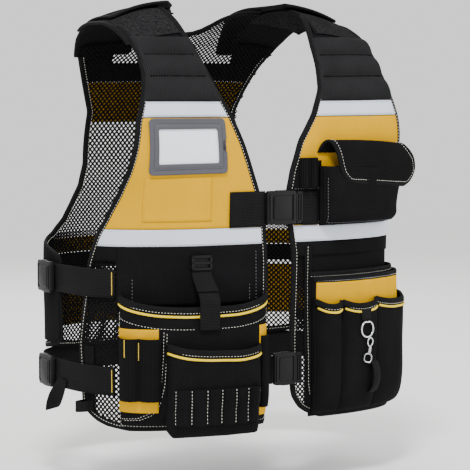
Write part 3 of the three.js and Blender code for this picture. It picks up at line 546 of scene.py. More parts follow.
def embossed(
    tree: bpy.types.NodeTree,
    shader: bpy.types.Node,
    height: bpy.types.NodeSocket,
    depth: float,
    strength: float,
) -> None:
    """Gives the shader a relief of a depth in millimetres."""
    inputs = {"Strength": strength, "Distance": depth * MM, "Height": height}
    bump = add_node(tree, "ShaderNodeBump", inputs)
    tree.links.new(bump.outputs[0], shader.inputs["Normal"])


@dataclass(frozen=True)
class Finish:
    """What all finishes share: a name, a colour and the shader's plain values."""

    name: str
    colour: str
    roughness: float = 0.85
    specular: float = 0.3
    sheen: float = 0.0
    metallic: float = 0.0
    patchy: float = 0.12  # share by which the colour comes and goes over a hand's breadth

    def material(self) -> bpy.types.Material:
        """The finish as a material, made once."""
        made = bpy.data.materials.get(self.name)
        if made:
            return made
        made = bpy.data.materials.new(self.name)
        made.use_nodes = True
        tree = made.node_tree
        tree.nodes.clear()
        shader = add_node(
            tree,
            "ShaderNodeBsdfPrincipled",
            {
                "Roughness": self.roughness,
                "Specular IOR Level": self.specular,
                "Sheen Weight": self.sheen,
                "Sheen Roughness": 0.4,
                "Metallic": self.metallic,
            },
        )
        add_node(tree, "ShaderNodeOutputMaterial", {"Surface": shader.outputs[0]})
        where = add_node(tree, "ShaderNodeTexCoord")
        self.wear(tree, shader, where)
        return made

    def wear(self, tree: bpy.types.NodeTree, shader: bpy.types.Node, where: bpy.types.Node) -> None:
        """Gives the shader its colour and relief."""
        colour = self.blotched(tree, where, linear(self.colour))
        tree.links.new(colour, shader.inputs["Base Color"])

    def blotched(
        self, tree: bpy.types.NodeTree, where: bpy.types.Node, colour: Union[tuple, bpy.types.NodeSocket]
    ) -> bpy.types.NodeSocket:
        """A colour that is a little lighter and darker over some 40 mm, as handled cloth is."""
        cloud = add_node(
            tree,
            "ShaderNodeTexNoise",
            {"Vector": where.outputs["Object"], "Scale": 25.0, "Detail": 3.0, "Roughness": 0.6},
        )
        level = ranged(tree, cloud.outputs[0], 0.3, 0.7, 1 - self.patchy, 1 + self.patchy)
        mixed = add_node(tree, "ShaderNodeHueSaturation", {"Value": level, "Color": colour})
        return mixed.outputs[0]


@dataclass(frozen=True)
class Woven(Finish):
    """Woven cloth: threads that cross, drawn at the spacing given or as coarse as the render can show."""

    thread: float = 1.6  # thread spacing in millimetres; the real 0.5 mm is too fine to show
    rib: float = 1.0  # how far the cross threads show beside the ribs
    depth: float = 0.25  # relief in millimetres
    shade: float = 0.25  # share by which the hollows between threads are darker
    lean: float = 0.0  # degrees that the threads are turned, as in twill

    def wear(self, tree: bpy.types.NodeTree, shader: bpy.types.Node, where: bpy.types.Node) -> None:
        """Crossing bands give the threads, and a fine noise gives the yarn."""
        turned = turned_cloth(tree, where, self.lean)
        scale = WAVE_TO_METRES / (self.thread * MM)
        inputs = {"Vector": turned, "Scale": scale, "Distortion": 0.6, "Detail": 1.0}
        bands = [add_node(tree, "ShaderNodeTexWave", inputs, bands_direction=way) for way in ("Y", "X")]
        weave = add_node(
            tree,
            "ShaderNodeMix",
            {0: 0.5 * self.rib, 2: bands[0].outputs["Fac"], 3: bands[1].outputs["Fac"]},
            data_type="FLOAT",
        )
        inputs = {"Vector": where.outputs["Object"], "Scale": 900.0, "Detail": 2.0}
        yarn = add_node(tree, "ShaderNodeTexNoise", inputs)
        inputs = {0: yarn.outputs[0], 1: 0.5, 2: weave.outputs[0]}
        relief = add_node(tree, "ShaderNodeMath", inputs, operation="MULTIPLY_ADD").outputs[0]
        level = ranged(tree, relief, 0.2, 1.1, 1 - self.shade, 1 + self.shade)
        plain = add_node(tree, "ShaderNodeHueSaturation", {"Value": level, "Color": linear(self.colour)})
        tree.links.new(self.blotched(tree, where, plain.outputs[0]), shader.inputs["Base Color"])
        embossed(tree, shader, relief, self.depth, 0.7)


@dataclass(frozen=True)
class Pile(Finish):
    """Loop pile: a mat of tiny loops, drawn as small bright curls over a dark ground."""

    curl: float = 2.2  # millimetres from curl to curl
    tip: str = "3C3C3D"

    def wear(self, tree: bpy.types.NodeTree, shader: bpy.types.Node, where: bpy.types.Node) -> None:
        """A distorted noise gives the curls, and a slow one the tufts they gather into."""
        inputs = {"Vector": where.outputs["Object"], "Scale": 1 / (self.curl * MM)}
        inputs |= {"Detail": 4.0, "Roughness": 0.8, "Distortion": 1.5}
        curls = add_node(tree, "ShaderNodeTexNoise", inputs).outputs[0]
        colour = mixed_colour(tree, ranged(tree, curls, 0.42, 0.68), self.colour, self.tip)
        tree.links.new(self.blotched(tree, where, colour), shader.inputs["Base Color"])
        embossed(tree, shader, curls, 1.2, 0.9)


@dataclass(frozen=True)
class Spacer(Finish):
    """Spacer net over foam: staggered small holes with a darker bottom."""

    pitch: float = 3.4
    ground: str = "050506"

    def wear(self, tree: bpy.types.NodeTree, shader: bpy.types.Node, where: bpy.types.Node) -> None:
        """Cells of a grid turned by 45 degrees give the holes."""
        inputs = {"Vector": turned_cloth(tree, where, 45), "Scale": 1 / (self.pitch * MM), "Randomness": 0.08}
        cells = add_node(tree, "ShaderNodeTexVoronoi", inputs, voronoi_dimensions="2D")
        ring = ranged(tree, cells.outputs["Distance"], 0.28, 0.42)
        tree.links.new(mixed_colour(tree, ring, self.ground, self.colour), shader.inputs["Base Color"])
        embossed(tree, shader, ring, 0.6, 0.8)


@dataclass(frozen=True)
class Grained(Finish):
    """Moulded or coated surface with a fine grain."""

    grain: float = 0.8  # millimetres from grain to grain
    depth: float = 0.05
    coat: float = 0.0
    anisotropic: float = 0.0

    def wear(self, tree: bpy.types.NodeTree, shader: bpy.types.Node, where: bpy.types.Node) -> None:
        """A fine noise roughens the surface and dulls its gloss in patches."""
        shader.inputs["Coat Weight"].default_value = self.coat
        shader.inputs["Anisotropic"].default_value = self.anisotropic
        inputs = {"Vector": where.outputs["Object"], "Scale": 1 / (self.grain * MM), "Detail": 3.0}
        grain = add_node(tree, "ShaderNodeTexNoise", inputs).outputs[0]
        dull = ranged(tree, grain, 0, 1, max(self.roughness - 0.12, 0.05), min(self.roughness + 0.12, 1))
        tree.links.new(self.blotched(tree, where, linear(self.colour)), shader.inputs["Base Color"])
        tree.links.new(dull, shader.inputs["Roughness"])
        embossed(tree, shader, grain, self.depth, 0.6)


# Knitted polyester net: dull black cords, seen mostly as an open lattice.
NET = Finish("knitted_net", "0E0E0F", 0.85, 0.05)
# Dense polyester cloth: matt near-black with a fine crossing thread.
CLOTH = Woven("polyester_cloth", "121213", 0.95, 0.03, thread=1.5, shade=0.5)
# Twill of the padded shoulders: a touch lighter, with an upright rib.
TWILL = Woven("padded_twill", "202021", 0.95, 0.03, thread=2.0, rib=0.35, lean=90, shade=0.4)
# Webbing: heavy ribs across the strap with a soft sheen.
WEBBING = Woven("ribbed_webbing", "141415", 0.85, 0.07, thread=2.0, rib=0.3, depth=0.45, shade=0.5)
# Elastic: fine ribs along the stretch, blacker than the cloth.
ELASTIC = Woven("ribbed_elastic", "101011", 0.9, 0.04, thread=1.7, rib=0.2, depth=0.3, lean=90, shade=0.5)
# Bright yellow oxford cloth, matt, with hardly any gloss.
YELLOW = Woven("yellow_oxford", "CC9900", 0.95, 0.0, patchy=0.04, thread=1.5, depth=0.15, shade=0.06)
# Grosgrain tape folded over raw edges.
BINDING = Woven("grosgrain_binding", "131314", 0.85, 0.06, thread=1.8, rib=0.3, depth=0.3, shade=0.5)
# Loop half of a hook-and-loop strap.
LOOPS = Pile("hook_and_loop_pile", "101011", 0.98, 0.0)
# Spacer net of the linings: rows of small dark holes.
LINING = Spacer("spacer_net", "1C1C1E", 0.9, 0.03)
# Retroreflective tape: silver-grey with a pearly, finely beaded face.
TAPE = Grained("reflective_tape", "CBD2DE", 0.5, 0.5, patchy=0.03, grain=1.2, depth=0.04, coat=0.15)
# Soft vinyl of the card window.
VINYL = Grained("soft_vinyl", "4A4A50", 0.55, 0.3, patchy=0.05, grain=1.0, depth=0.06)
# Paper of the floor: white and dull.
PAPER = Finish("floor_paper", "F7F7F6", 0.9, 0.1, patchy=0.005)
# Coated card: smooth, with a slight gloss.
CARD = Grained("coated_card", "E9ECF1", 0.35, 0.5, patchy=0.01, grain=0.5, depth=0.01, coat=0.4)
# Acetal buckles: satin black with a mould's fine grain.
ACETAL = Grained("moulded_acetal", "0E0E0F", 0.5, 0.18, patchy=0.04, grain=0.7, depth=0.05)
# Nickel-plated steel of the ring and the hook: bright, with a fine brushed grain.
STEEL = Grained(
    "nickel_steel", "D5D6D8", 0.24, 0.5, metallic=1.0, patchy=0.03, grain=0.6, depth=0.02, anisotropic=0.3
)
# Threads: small beads, so a plain dull colour is all that shows.
WHITE_THREAD = Finish("white_thread", "DAD7CC", 0.8, 0.3, patchy=0.05)
GREY_THREAD = Finish("grey_thread", "77767A", 0.8, 0.3, patchy=0.05)
GOLD_THREAD = Finish("yellow_thread", "D8B63A", 0.75, 0.35, patchy=0.05)
BLACK_THREAD = Finish("black_thread", "060607", 0.8, 0.05, patchy=0.05)
# Piping: a cord in glazed yellow cloth, paler than the panels.
PIPING = Grained("yellow_piping", "EBC824", 0.6, 0.2, patchy=0.05, grain=1.2, depth=0.08)


# Making meshes


def written(name: str, bm: bmesh.types.BMesh, finish: Finish, smooth: bool = True) -> bpy.types.Object:
    """Writes a bmesh in millimetres as an object in metres, dressed and shaded."""
    for vert in bm.verts:
        vert.co *= MM
    mesh = bpy.data.meshes.new(name)
    bm.to_mesh(mesh)
    bm.free()
    mesh.polygons.foreach_set("use_smooth", [smooth] * len(mesh.polygons))
    made = bpy.data.objects.new(PREFIX + name, mesh)
    bpy.context.scene.collection.objects.link(made)
    mesh.materials.append(finish.material())
    return made


def fitted(piece: bpy.types.Object, slot: str, *nodes: str) -> bpy.types.Object:
    """Fits a finished piece to the vest.

    Args:
        piece: The new piece.
        slot: The record's material slot; not used.
        nodes: CAD nodes that it stands for.

    Returns:
        The piece.
    """
    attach(piece, BODY)
    if nodes:
        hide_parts(*nodes)
    log.info("%s: %d faces", piece.name, len(piece.data.polygons))
    return piece


def placed(bm: bmesh.types.BMesh, points: Array) -> None:
    """Moves each vertex to its row of points."""
    for vert, point in zip(bm.verts, points):
        vert.co = point


def unwrapped(bm: bmesh.types.BMesh, u: Array, v: Array) -> None:
    """Gives the mesh a UV map in metres of cloth."""
    layer = bm.loops.layers.uv.new("cloth")
    for face in bm.faces:
        for loop in face.loops:
            i = loop.vert.index
            loop[layer].uv = (u[i] * MM, v[i] * MM)


def thickened(bm: bmesh.types.BMesh) -> None:
    """Turns a flat pattern at z = 0 into a closed one with its outer face at z = 1."""
    flat = list(bm.faces)
    grown = bmesh.ops.extrude_face_region(bm, geom=flat, use_keep_orig=True)["geom"]
    for item in grown:
        if isinstance(item, bmesh.types.BMVert):
            item.co.z = 1
    bmesh.ops.recalc_face_normals(bm, faces=bm.faces)


def draped(bm: bmesh.types.BMesh, side: Side, lift: Amount, thickness: Amount) -> None:
    """Lays a pattern on the form: x is s, y is cloth height and z the share of the thickness."""
    bm.verts.index_update()
    pattern = np.array([vert.co[:] for vert in bm.verts])
    s, v, z = pattern.T
    t = height_turned(v)
    unwrapped(bm, s, v)
    high = amount(lift, s, t) + amount(thickness, s, t) * z
    placed(bm, FORM.lifted(s, t, side, high))
    bmesh.ops.recalc_face_normals(bm, faces=bm.faces)


def cloth(
    name: str,
    finish: Finish,
    cut: Cut,
    lift: Amount,
    thickness: Amount = 1.6,
    cell: float = 4.0,
    columns: Optional[int] = None,
) -> bpy.types.Object:
    """A closed sheet of cloth on the form.

    Args:
        name: The piece's name.
        finish: Its finish.
        cut: Its flat cut.
        lift: Lift of its inner face.
        thickness: Its thickness.
        cell: Size of the mesh's squares.
        columns: Number of squares across, where seams have to fall on their edges.

    Returns:
        The object.
    """
    bm = bmesh.new()
    width, length = cut.flat
    across, up = (max(2, round(n / MM / cell)) for n in (width, length))
    across = columns or across
    bmesh.ops.create_grid(bm, x_segments=across, y_segments=up, size=0.5)
    shares = np.array([vert.co[:2] for vert in bm.verts]) + 0.5
    s, v = cut.place(shares[:, 0], shares[:, 1])
    placed(bm, np.stack([s, v, np.zeros_like(s)], axis=-1))
    thickened(bm)
    draped(bm, cut.side, lift, thickness)
    return written(name, bm, finish)


def laid(
    name: str,
    finish: Finish,
    slot: str,
    cut: Cut,
    lift: Amount,
    thickness: Amount = 1.6,
    cell: float = 4.0,
    nodes: Sequence[str] = (),
) -> None:
    """Args:
        name: The piece's name.
        finish: Its finish.
        slot: Its slot in the record.
        cut: Its flat cut.
        lift: Lift of its inner face.
        thickness: Its thickness.
        cell: Size of the mesh's squares.
        nodes: CAD nodes that it stands for.
    """
    piece = fitted(cloth(name, finish, cut, lift, thickness, cell), slot, *nodes)


@dataclass(frozen=True)
class Lattice:
    """Diamond net: spacing of its holes across and up, and the width of its cords, in millimetres."""

    pitch: float = 7.0
    row: float = 3.6
    cord: float = 2.2
    thick: float = 0.9
    margin: float = 4.0
    lift: float = 0.6

    def knit(self, name: str, cut: Cut, nodes: Sequence[str] = ()) -> None:
        """Args:
            name: The piece's name.
            cut: Its flat cut; holes keep a margin inside it.
            nodes: CAD nodes that it stands for.
        """
        bm = bmesh.new()
        rows = np.arange(cut.low + self.margin, cut.high - self.margin, self.row)
        for number, v in enumerate(rows):
            start, end = (float(edge) for edge in cut.edges(np.array(v)))
            shift = self.pitch / 2 * (number % 2)
            first = math.ceil((start + self.margin) / self.pitch)
            last = math.floor((end - self.margin) / self.pitch)
            for column in range(first, last + 1):
                centre = Matrix.Translation((column * self.pitch + shift, v, 0))
                place = centre @ Matrix.Diagonal((self.pitch / 2, self.row, 1, 1))
                bmesh.ops.create_circle(bm, cap_ends=True, segments=4, radius=1, matrix=place)
        bmesh.ops.remove_doubles(bm, verts=bm.verts, dist=0.05)
        whole = list(bm.faces)
        bmesh.ops.inset_individual(bm, faces=whole, thickness=self.cord / 2, use_even_offset=True)
        bmesh.ops.delete(bm, geom=whole, context="FACES")
        thickened(bm)
        draped(bm, cut.side, self.lift, self.thick)
        net = fitted(written(name, bm, NET), "net_cloth", *nodes)


LATTICE = Lattice()


@dataclass
class Track:
    """A line over the vest: even points and the outward normal at each."""

    points: Array
    normals: Array

    @classmethod
    def over(
        cls, places: Places, lift: Amount, side: Side = Side.FRONT, pitch: float = 4.0, closed: bool = False
    ) -> "Track":
        """Lays a line of places at a lift.

        Args:
            places: Corners or close points of the line.
            lift: Its lift, as a number or a function of the place.
            side: The centre line that its places are counted from.
            pitch: Distance from point to point.
            closed: Whether it runs back to its start.

        Returns:
            The track.
        """
        line = np.array([(s, float(height_flat(t))) for s, t in places], float)
        if closed:
            line = np.vstack([line, line[:1]])
        paces = np.linalg.norm(np.diff(line, axis=0), axis=1)
        steps = np.concatenate([[0], np.cumsum(np.maximum(paces, 1e-6))])
        fine = np.linspace(0, steps[-1], max(8, int(steps[-1])))
        s, v = (np.interp(fine, steps, line[:, i]) for i in (0, 1))
        points = FORM.lifted(s, height_turned(v), side, amount(lift, s, height_turned(v)))
        length = np.concatenate([[0], np.cumsum(np.linalg.norm(np.diff(points, axis=0), axis=1))])
        even = np.linspace(0, length[-1], max(3, int(round(length[-1] / pitch)) + 1))
        s, v = (np.interp(even, length, part) for part in (s, v))
        t = height_turned(v)
        return cls(FORM.lifted(s, t, side, amount(lift, s, t)), FORM.normal(s, t, side))

    @property
    def length(self) -> float:
        """Its length in millimetres."""
        return float(np.linalg.norm(np.diff(self.points, axis=0), axis=1).sum())

    def frames(self) -> tuple[Array, Array, Array]:
        """Direction, sideways and outward vectors at each point."""
        along = np.gradient(self.points, axis=0)
        along /= np.maximum(np.linalg.norm(along, axis=1, keepdims=True), 1e-9)
        across = np.cross(along, self.normals)
        across /= np.maximum(np.linalg.norm(across, axis=1, keepdims=True), 1e-9)
        return along, across, np.cross(across, along)


def swept(bm: bmesh.types.BMesh, track: Track, profile: Array) -> None:
    """Sweeps a closed profile of (across, outwards) pairs along a track, with both ends closed."""
    _, across, outward = track.frames()
    count, sides = len(track.points), len(profile)
    made = bmesh.ops.create_grid(bm, x_segments=count - 1, y_segments=sides, size=0.5)["verts"]
    shares = np.array([vert.co[:2] for vert in made]) + 0.5
    i = np.rint(shares[:, 0] * (count - 1)).astype(int)
    j = np.rint(shares[:, 1] * sides).astype(int) % sides
    offset = across[i] * profile[j, :1] + outward[i] * profile[j, 1:]
    for vert, point in zip(made, track.points[i] + offset):
        vert.co = point
    bmesh.ops.remove_doubles(bm, verts=made, dist=1e-4)
    ends = [edge for edge in bm.edges if edge.is_boundary]
    bmesh.ops.holes_fill(bm, edges=ends, sides=sides + 1)


def rounded(width: float, height: float, points: int = 8, power: float = 2.6) -> Array:
    """A rounded oblong profile."""
    angle = np.arange(points) / points * 2 * math.pi + math.pi / points
    x = np.sign(np.cos(angle)) * np.abs(np.cos(angle)) ** (2 / power)
    y = np.sign(np.sin(angle)) * np.abs(np.sin(angle)) ** (2 / power)
    return np.stack([x * width / 2, y * height / 2], axis=-1)


def strips(
    name: str, finish: Finish, tracks: Iterable[Track], profile: Array, slot: str = "woven_cloth"
) -> None:
    """Makes one piece of bindings, pipings or cords along tracks, and fits it."""
    bm = bmesh.new()
    for track in tracks:
        swept(bm, track, profile)
    bmesh.ops.recalc_face_normals(bm, faces=bm.faces)
    layer = bm.loops.layers.uv.new("cloth")
    for face in bm.faces:
        for loop in face.loops:
            co = loop.vert.co
            loop[layer].uv = ((co.x + co.y) * MM, co.z * MM)
    fitted(written(name, bm, finish), slot)


@dataclass
class Arch:
    """A bend that cloth follows away from the form: pairs of cloth height and lift, from its root on."""

    pairs: Sequence[tuple[float, float]]

    def __post_init__(self) -> None:
        """Rounds the corners of the bend and measures along it."""
        line = np.array(self.pairs, float)
        for _ in range(3):
            near, far = 0.75 * line[:-1] + 0.25 * line[1:], 0.25 * line[:-1] + 0.75 * line[1:]
            between = np.stack([near, far], axis=1).reshape(-1, 2)
            line = np.vstack([line[:1], between, line[-1:]])
        steps = np.linalg.norm(np.diff(line, axis=0), axis=1)
        self._line, self._along = line, np.concatenate([[0], np.cumsum(steps)])
        self.length = float(self._along[-1])

    def _row(self, w: Array) -> Array:
        """Cloth height and lift at a distance from the root."""
        return np.stack([np.interp(w, self._along, self._line[:, i]) for i in (0, 1)], axis=-1)

    def points(self, s: Array, w: Array, out: Array) -> Array:
        """Places on the bend, standing off its outer side."""
        slope = self._row(np.minimum(w + 0.5, self.length)) - self._row(np.maximum(w - 0.5, 0))
        slope /= np.linalg.norm(slope, axis=-1, keepdims=True)
        row = self._row(w)
        v, lift = row[..., 0] + slope[..., 1] * out, row[..., 1] - slope[..., 0] * out
        return FORM.lifted(s, height_turned(v), Side.FRONT, lift)

    def bend(self, name: str, finish: Finish, cut: Cut, thickness: float, cell: float) -> bpy.types.Object:
        """Bends a flat cut, whose height is minus the distance from the root."""
        bm = bmesh.new()
        across, up = (round(n / MM / cell) for n in cut.flat)
        bmesh.ops.create_grid(bm, x_segments=across, y_segments=up, size=0.5)
        shares = np.array([vert.co[:2] for vert in bm.verts]) + 0.5
        s, v = cut.place(shares[:, 0], shares[:, 1])
        placed(bm, np.stack([s, v, np.zeros_like(s)], axis=-1))
        thickened(bm)
        bm.verts.index_update()
        s, v, z = np.array([vert.co[:] for vert in bm.verts]).T
        unwrapped(bm, s, v)
        placed(bm, self.points(s, -v, z * thickness))
        bmesh.ops.recalc_face_normals(bm, faces=bm.faces)
        return written(name, bm, finish)

    def track(self, places: Places, out: float, pitch: float = 3.0) -> Track:
        """A line over the bend."""
        s, t = np.array(places, float).T
        line = self.points(s, -t, np.full(len(s), out))
        length = np.concatenate([[0], np.cumsum(np.linalg.norm(np.diff(line, axis=0), axis=1))])
        even = np.linspace(0, length[-1], int(length[-1] / pitch) + 1)
        s, w = np.interp(even, length, s), np.interp(even, length, -t)
        here = self.points(s, w, np.full(len(s), out))
        away = self.points(s, w, np.full(len(s), out + 1)) - here
        return Track(here, away / np.linalg.norm(away, axis=1, keepdims=True))


@dataclass(frozen=True)
class Stitching:
    """A running seam: length of a stitch, the gap to the next and its thread, in millimetres."""

    stitch: float = 2.9
    gap: float = 1.3
    thread: float = 0.75

    def sewn(self, name: str, finish: Finish, tracks: Iterable[Track], slot: str = "woven_cloth") -> None:
        """Sews each track, one small bead of thread a stitch, and fits the seams as one piece."""
        bm = bmesh.new()
        for track in tracks:
            count = max(1, int(track.length / (self.stitch + self.gap)))
            along, across, outward = track.frames()
            at = np.linspace(0, len(track.points) - 1, 2 * count + 1)[1::2]
            index = np.arange(len(track.points))
            half = self.thread / 2
            rows = (along * self.stitch / 2, across * half, outward * half, track.points)
            columns = [
                np.stack([np.interp(at, index, row[:, k]) for k in range(3)], axis=-1) for row in rows
            ]
            for x, y, z, origin in zip(*columns):
                place = Matrix([[x[k], y[k], z[k], origin[k]] for k in range(3)] + [[0, 0, 0, 1]])
                bmesh.ops.create_icosphere(bm, subdivisions=1, radius=1, matrix=place)
        bmesh.ops.recalc_face_normals(bm, faces=bm.faces)
        fitted(written(name, bm, finish), slot)


SEAM = Stitching()
FINE_SEAM = Stitching(2.0, 1.6, 0.5)
BOLD_SEAM = Stitching(2.9, 1.3, 1.1)
TACK = Stitching(1.6, -0.5, 1.5)
# Channel seams thickened into nearly unbroken black beads: a real seam, drawn as a dark line that is painted
# shade for the pad's grooves.
CHANNEL_SEAM_SHADE = Stitching(3.6, 0.2, 3.2)


def joined(bm: bmesh.types.BMesh, part: bmesh.types.BMesh) -> None:
    """Adds one mesh to another and frees it."""
    mesh = bpy.data.meshes.new("part")
    part.to_mesh(mesh)
    part.free()
    bm.from_mesh(mesh)
    bpy.data.meshes.remove(mesh)


def block(
    bm: bmesh.types.BMesh,
    size: Sequence[float],
    centre: Sequence[float],
    corner: float = 0.0,
    edge: float = 0.5,
) -> None:
    """Adds a moulded block with rounded corners and eased edges.

    Args:
        bm: The mesh to add to.
        size: Width, height and thickness.
        centre: Its middle.
        corner: Radius of the corners seen from outside.
        edge: Radius of all other edges.
    """
    part = bmesh.new()
    bmesh.ops.create_cube(part, size=1, matrix=Matrix.Translation(centre) @ Matrix.Diagonal((*size, 1)))
    even = {"profile": 0.5, "affect": "EDGES", "material": -1}
    if corner:
        upright = [e for e in part.edges if abs(e.verts[0].co.z - e.verts[1].co.z) > 1e-4]
        bmesh.ops.bevel(part, geom=upright, offset=corner, segments=5, **even)
    sharp = [e for e in part.edges if e.is_manifold and e.calc_face_angle(0) > 0.6]
    bmesh.ops.bevel(part, geom=sharp, offset=edge, segments=2, **even)
    joined(bm, part)


def oblong(width: float, height: float, corner: float, arc: int = 6, run: int = 14) -> Array:
    """Points round an oblong with rounded corners, always as many to a side and a corner."""
    turns = np.radians(np.linspace(0, 90, arc))
    corners = []
    for number, (x, y) in enumerate(((1, 1), (-1, 1), (-1, -1), (1, -1))):
        angle = turns + number * math.pi / 2
        middle = np.array([x * (width / 2 - corner), y * (height / 2 - corner)])
        corners.append(middle + corner * np.stack([np.cos(angle), np.sin(angle)], axis=-1))
    line = []
    for this, following in zip(corners, corners[1:] + corners[:1]):
        line += [this, np.linspace(this[-1], following[0], run + 2)[1:-1]]
    return np.concatenate(line)


def smoothed(piece: bpy.types.Object, angle: float = 35) -> bpy.types.Object:
    """Marks edges over an angle as sharp on a moulded piece."""
    piece.data.set_sharp_from_angle(angle=math.radians(angle))
    return piece


# Back


@dataclass(frozen=True)
class Band:
    """A strip across the back: its finish, record slot, and bottom and top heights."""

    name: str
    finish: Finish
    slot: str
    bottom: float
    top: float


@dataclass
class Back:
    """The net back with its bands, bound all round."""

    cut: Cut = field(default_factory=lambda: BACK_WHOLE.cut(None, Side.BACK))
    binding: float = 9.0
    patch_from: float = 214.0  # where the black side patches start, from the back's centre line
    wing_from: float = 98.0  # where the black wings over the yoke start
    bands: Sequence[Band] = (
        Band("yoke", LOOPS, "woven_cloth", 33, 41.5),
        Band("upper_band", YELLOW, "yellow_cloth", 16, 32.5),
        Band("middle_band", YELLOW, "yellow_cloth", -125, -104),
        Band("waist_band", CLOTH, "woven_cloth", -150, -126),
        Band("lower_band", YELLOW, "yellow_cloth", -228, -156),
    )

    def build(self) -> None:
        """Makes the net, the bands and the binding."""
        LATTICE.knit("back_net_upper", self.cut.band(-102, 54), ["back_panel"])
        LATTICE.knit("back_net_lower", self.cut.band(-263, -94))
        for word, rows in (
            ("middle", [(52, -96, 96), (58.5, -96, 96)]),
            ("right", [(58.5, -96, -10), (61, -96, -24), (66, -96, -36), (74, -96, -46), (82, -90, -54)]),
            ("left", [(58.5, 10, 96), (61, 24, 96), (66, 36, 96), (74, 46, 96), (82, 54, 90)]),
        ):
            cut = Cut(rows, Side.BACK, soften=0.5)
            Lattice(margin=1.0).knit("back_net_neck_" + word, cut)
        for hand in Hand:
            self.sides(hand)
        for band in self.bands:
            cut = self.cut.band(band.bottom, band.top, 3)
            laid(
                "back_" + band.name, band.finish, band.slot, cut, LAYER.one,
                nodes=["back_" + band.name],
            )
        self.dress()

    def sides(self, hand: Hand) -> None:
        """Makes the black patch at one side and the black wing over the yoke."""
        heights = np.linspace(-238, -104, 16)
        outer = np.maximum(self.cut.edges(heights)[1] - 2, self.patch_from + 4)
        rows = [(t, self.patch_from, edge) for t, edge in zip(heights.tolist(), outer.tolist())]
        patch = Cut([(t, *hand.mirrored(a, b)) for t, a, b in rows], Side.BACK, soften=0.5)
        laid("back_side_" + hand.word, CLOTH, "woven_cloth", patch, LAYER.two, 1.2)
        rows = [(t, *hand.mirrored(self.wing_from, edge)) for t, edge in ((41, 146), (50, 154))]
        wing = Cut(rows, Side.BACK)
        laid("back_yoke_wing_" + hand.word, CLOTH, "woven_cloth", wing, LAYER.one, 1.4)

    def dress(self) -> None:
        """Binds the edges and sews the bands down."""
        inset = self.binding / 2 - 0.5
        side_line = self.cut.border(inset, 47)
        half_neck = [(78, 87), (66, 84), (56, 79), (47, 73), (38, 66), (28, 61.5), (16, 59), (0, 58)]
        neck = half_neck + [(-s, t) for s, t in half_neck[-2::-1]]
        tracks = [Track.over(line, 2.4, Side.BACK) for line in (side_line, neck)]
        strips("back_binding", BINDING, tracks, rounded(self.binding, 4.6))
        seam = [Track.over(self.cut.border(self.binding - 2.2, 47), 4.4, Side.BACK, 3)]
        seam.append(Track.over(self.cut.border(self.binding - 2.2, 47), -0.4, Side.BACK, 3))
        SEAM.sewn("back_seam", WHITE_THREAD, seam)
        lines = []
        for band in self.bands:
            for height, way in ((band.bottom, 1), (band.top, -1)):
                t = height + way * (2.0 if height < 0 else 1.0)
                start, end = self.cut.edges(height_flat(np.array(t)))
                line = [(float(start) + 8, t), (float(end) - 8, t)]
                lines.append(Track.over(line, LAYER.two - 0.2, Side.BACK))
        SEAM.sewn("back_band_seams", GREY_THREAD, lines)


# Fronts


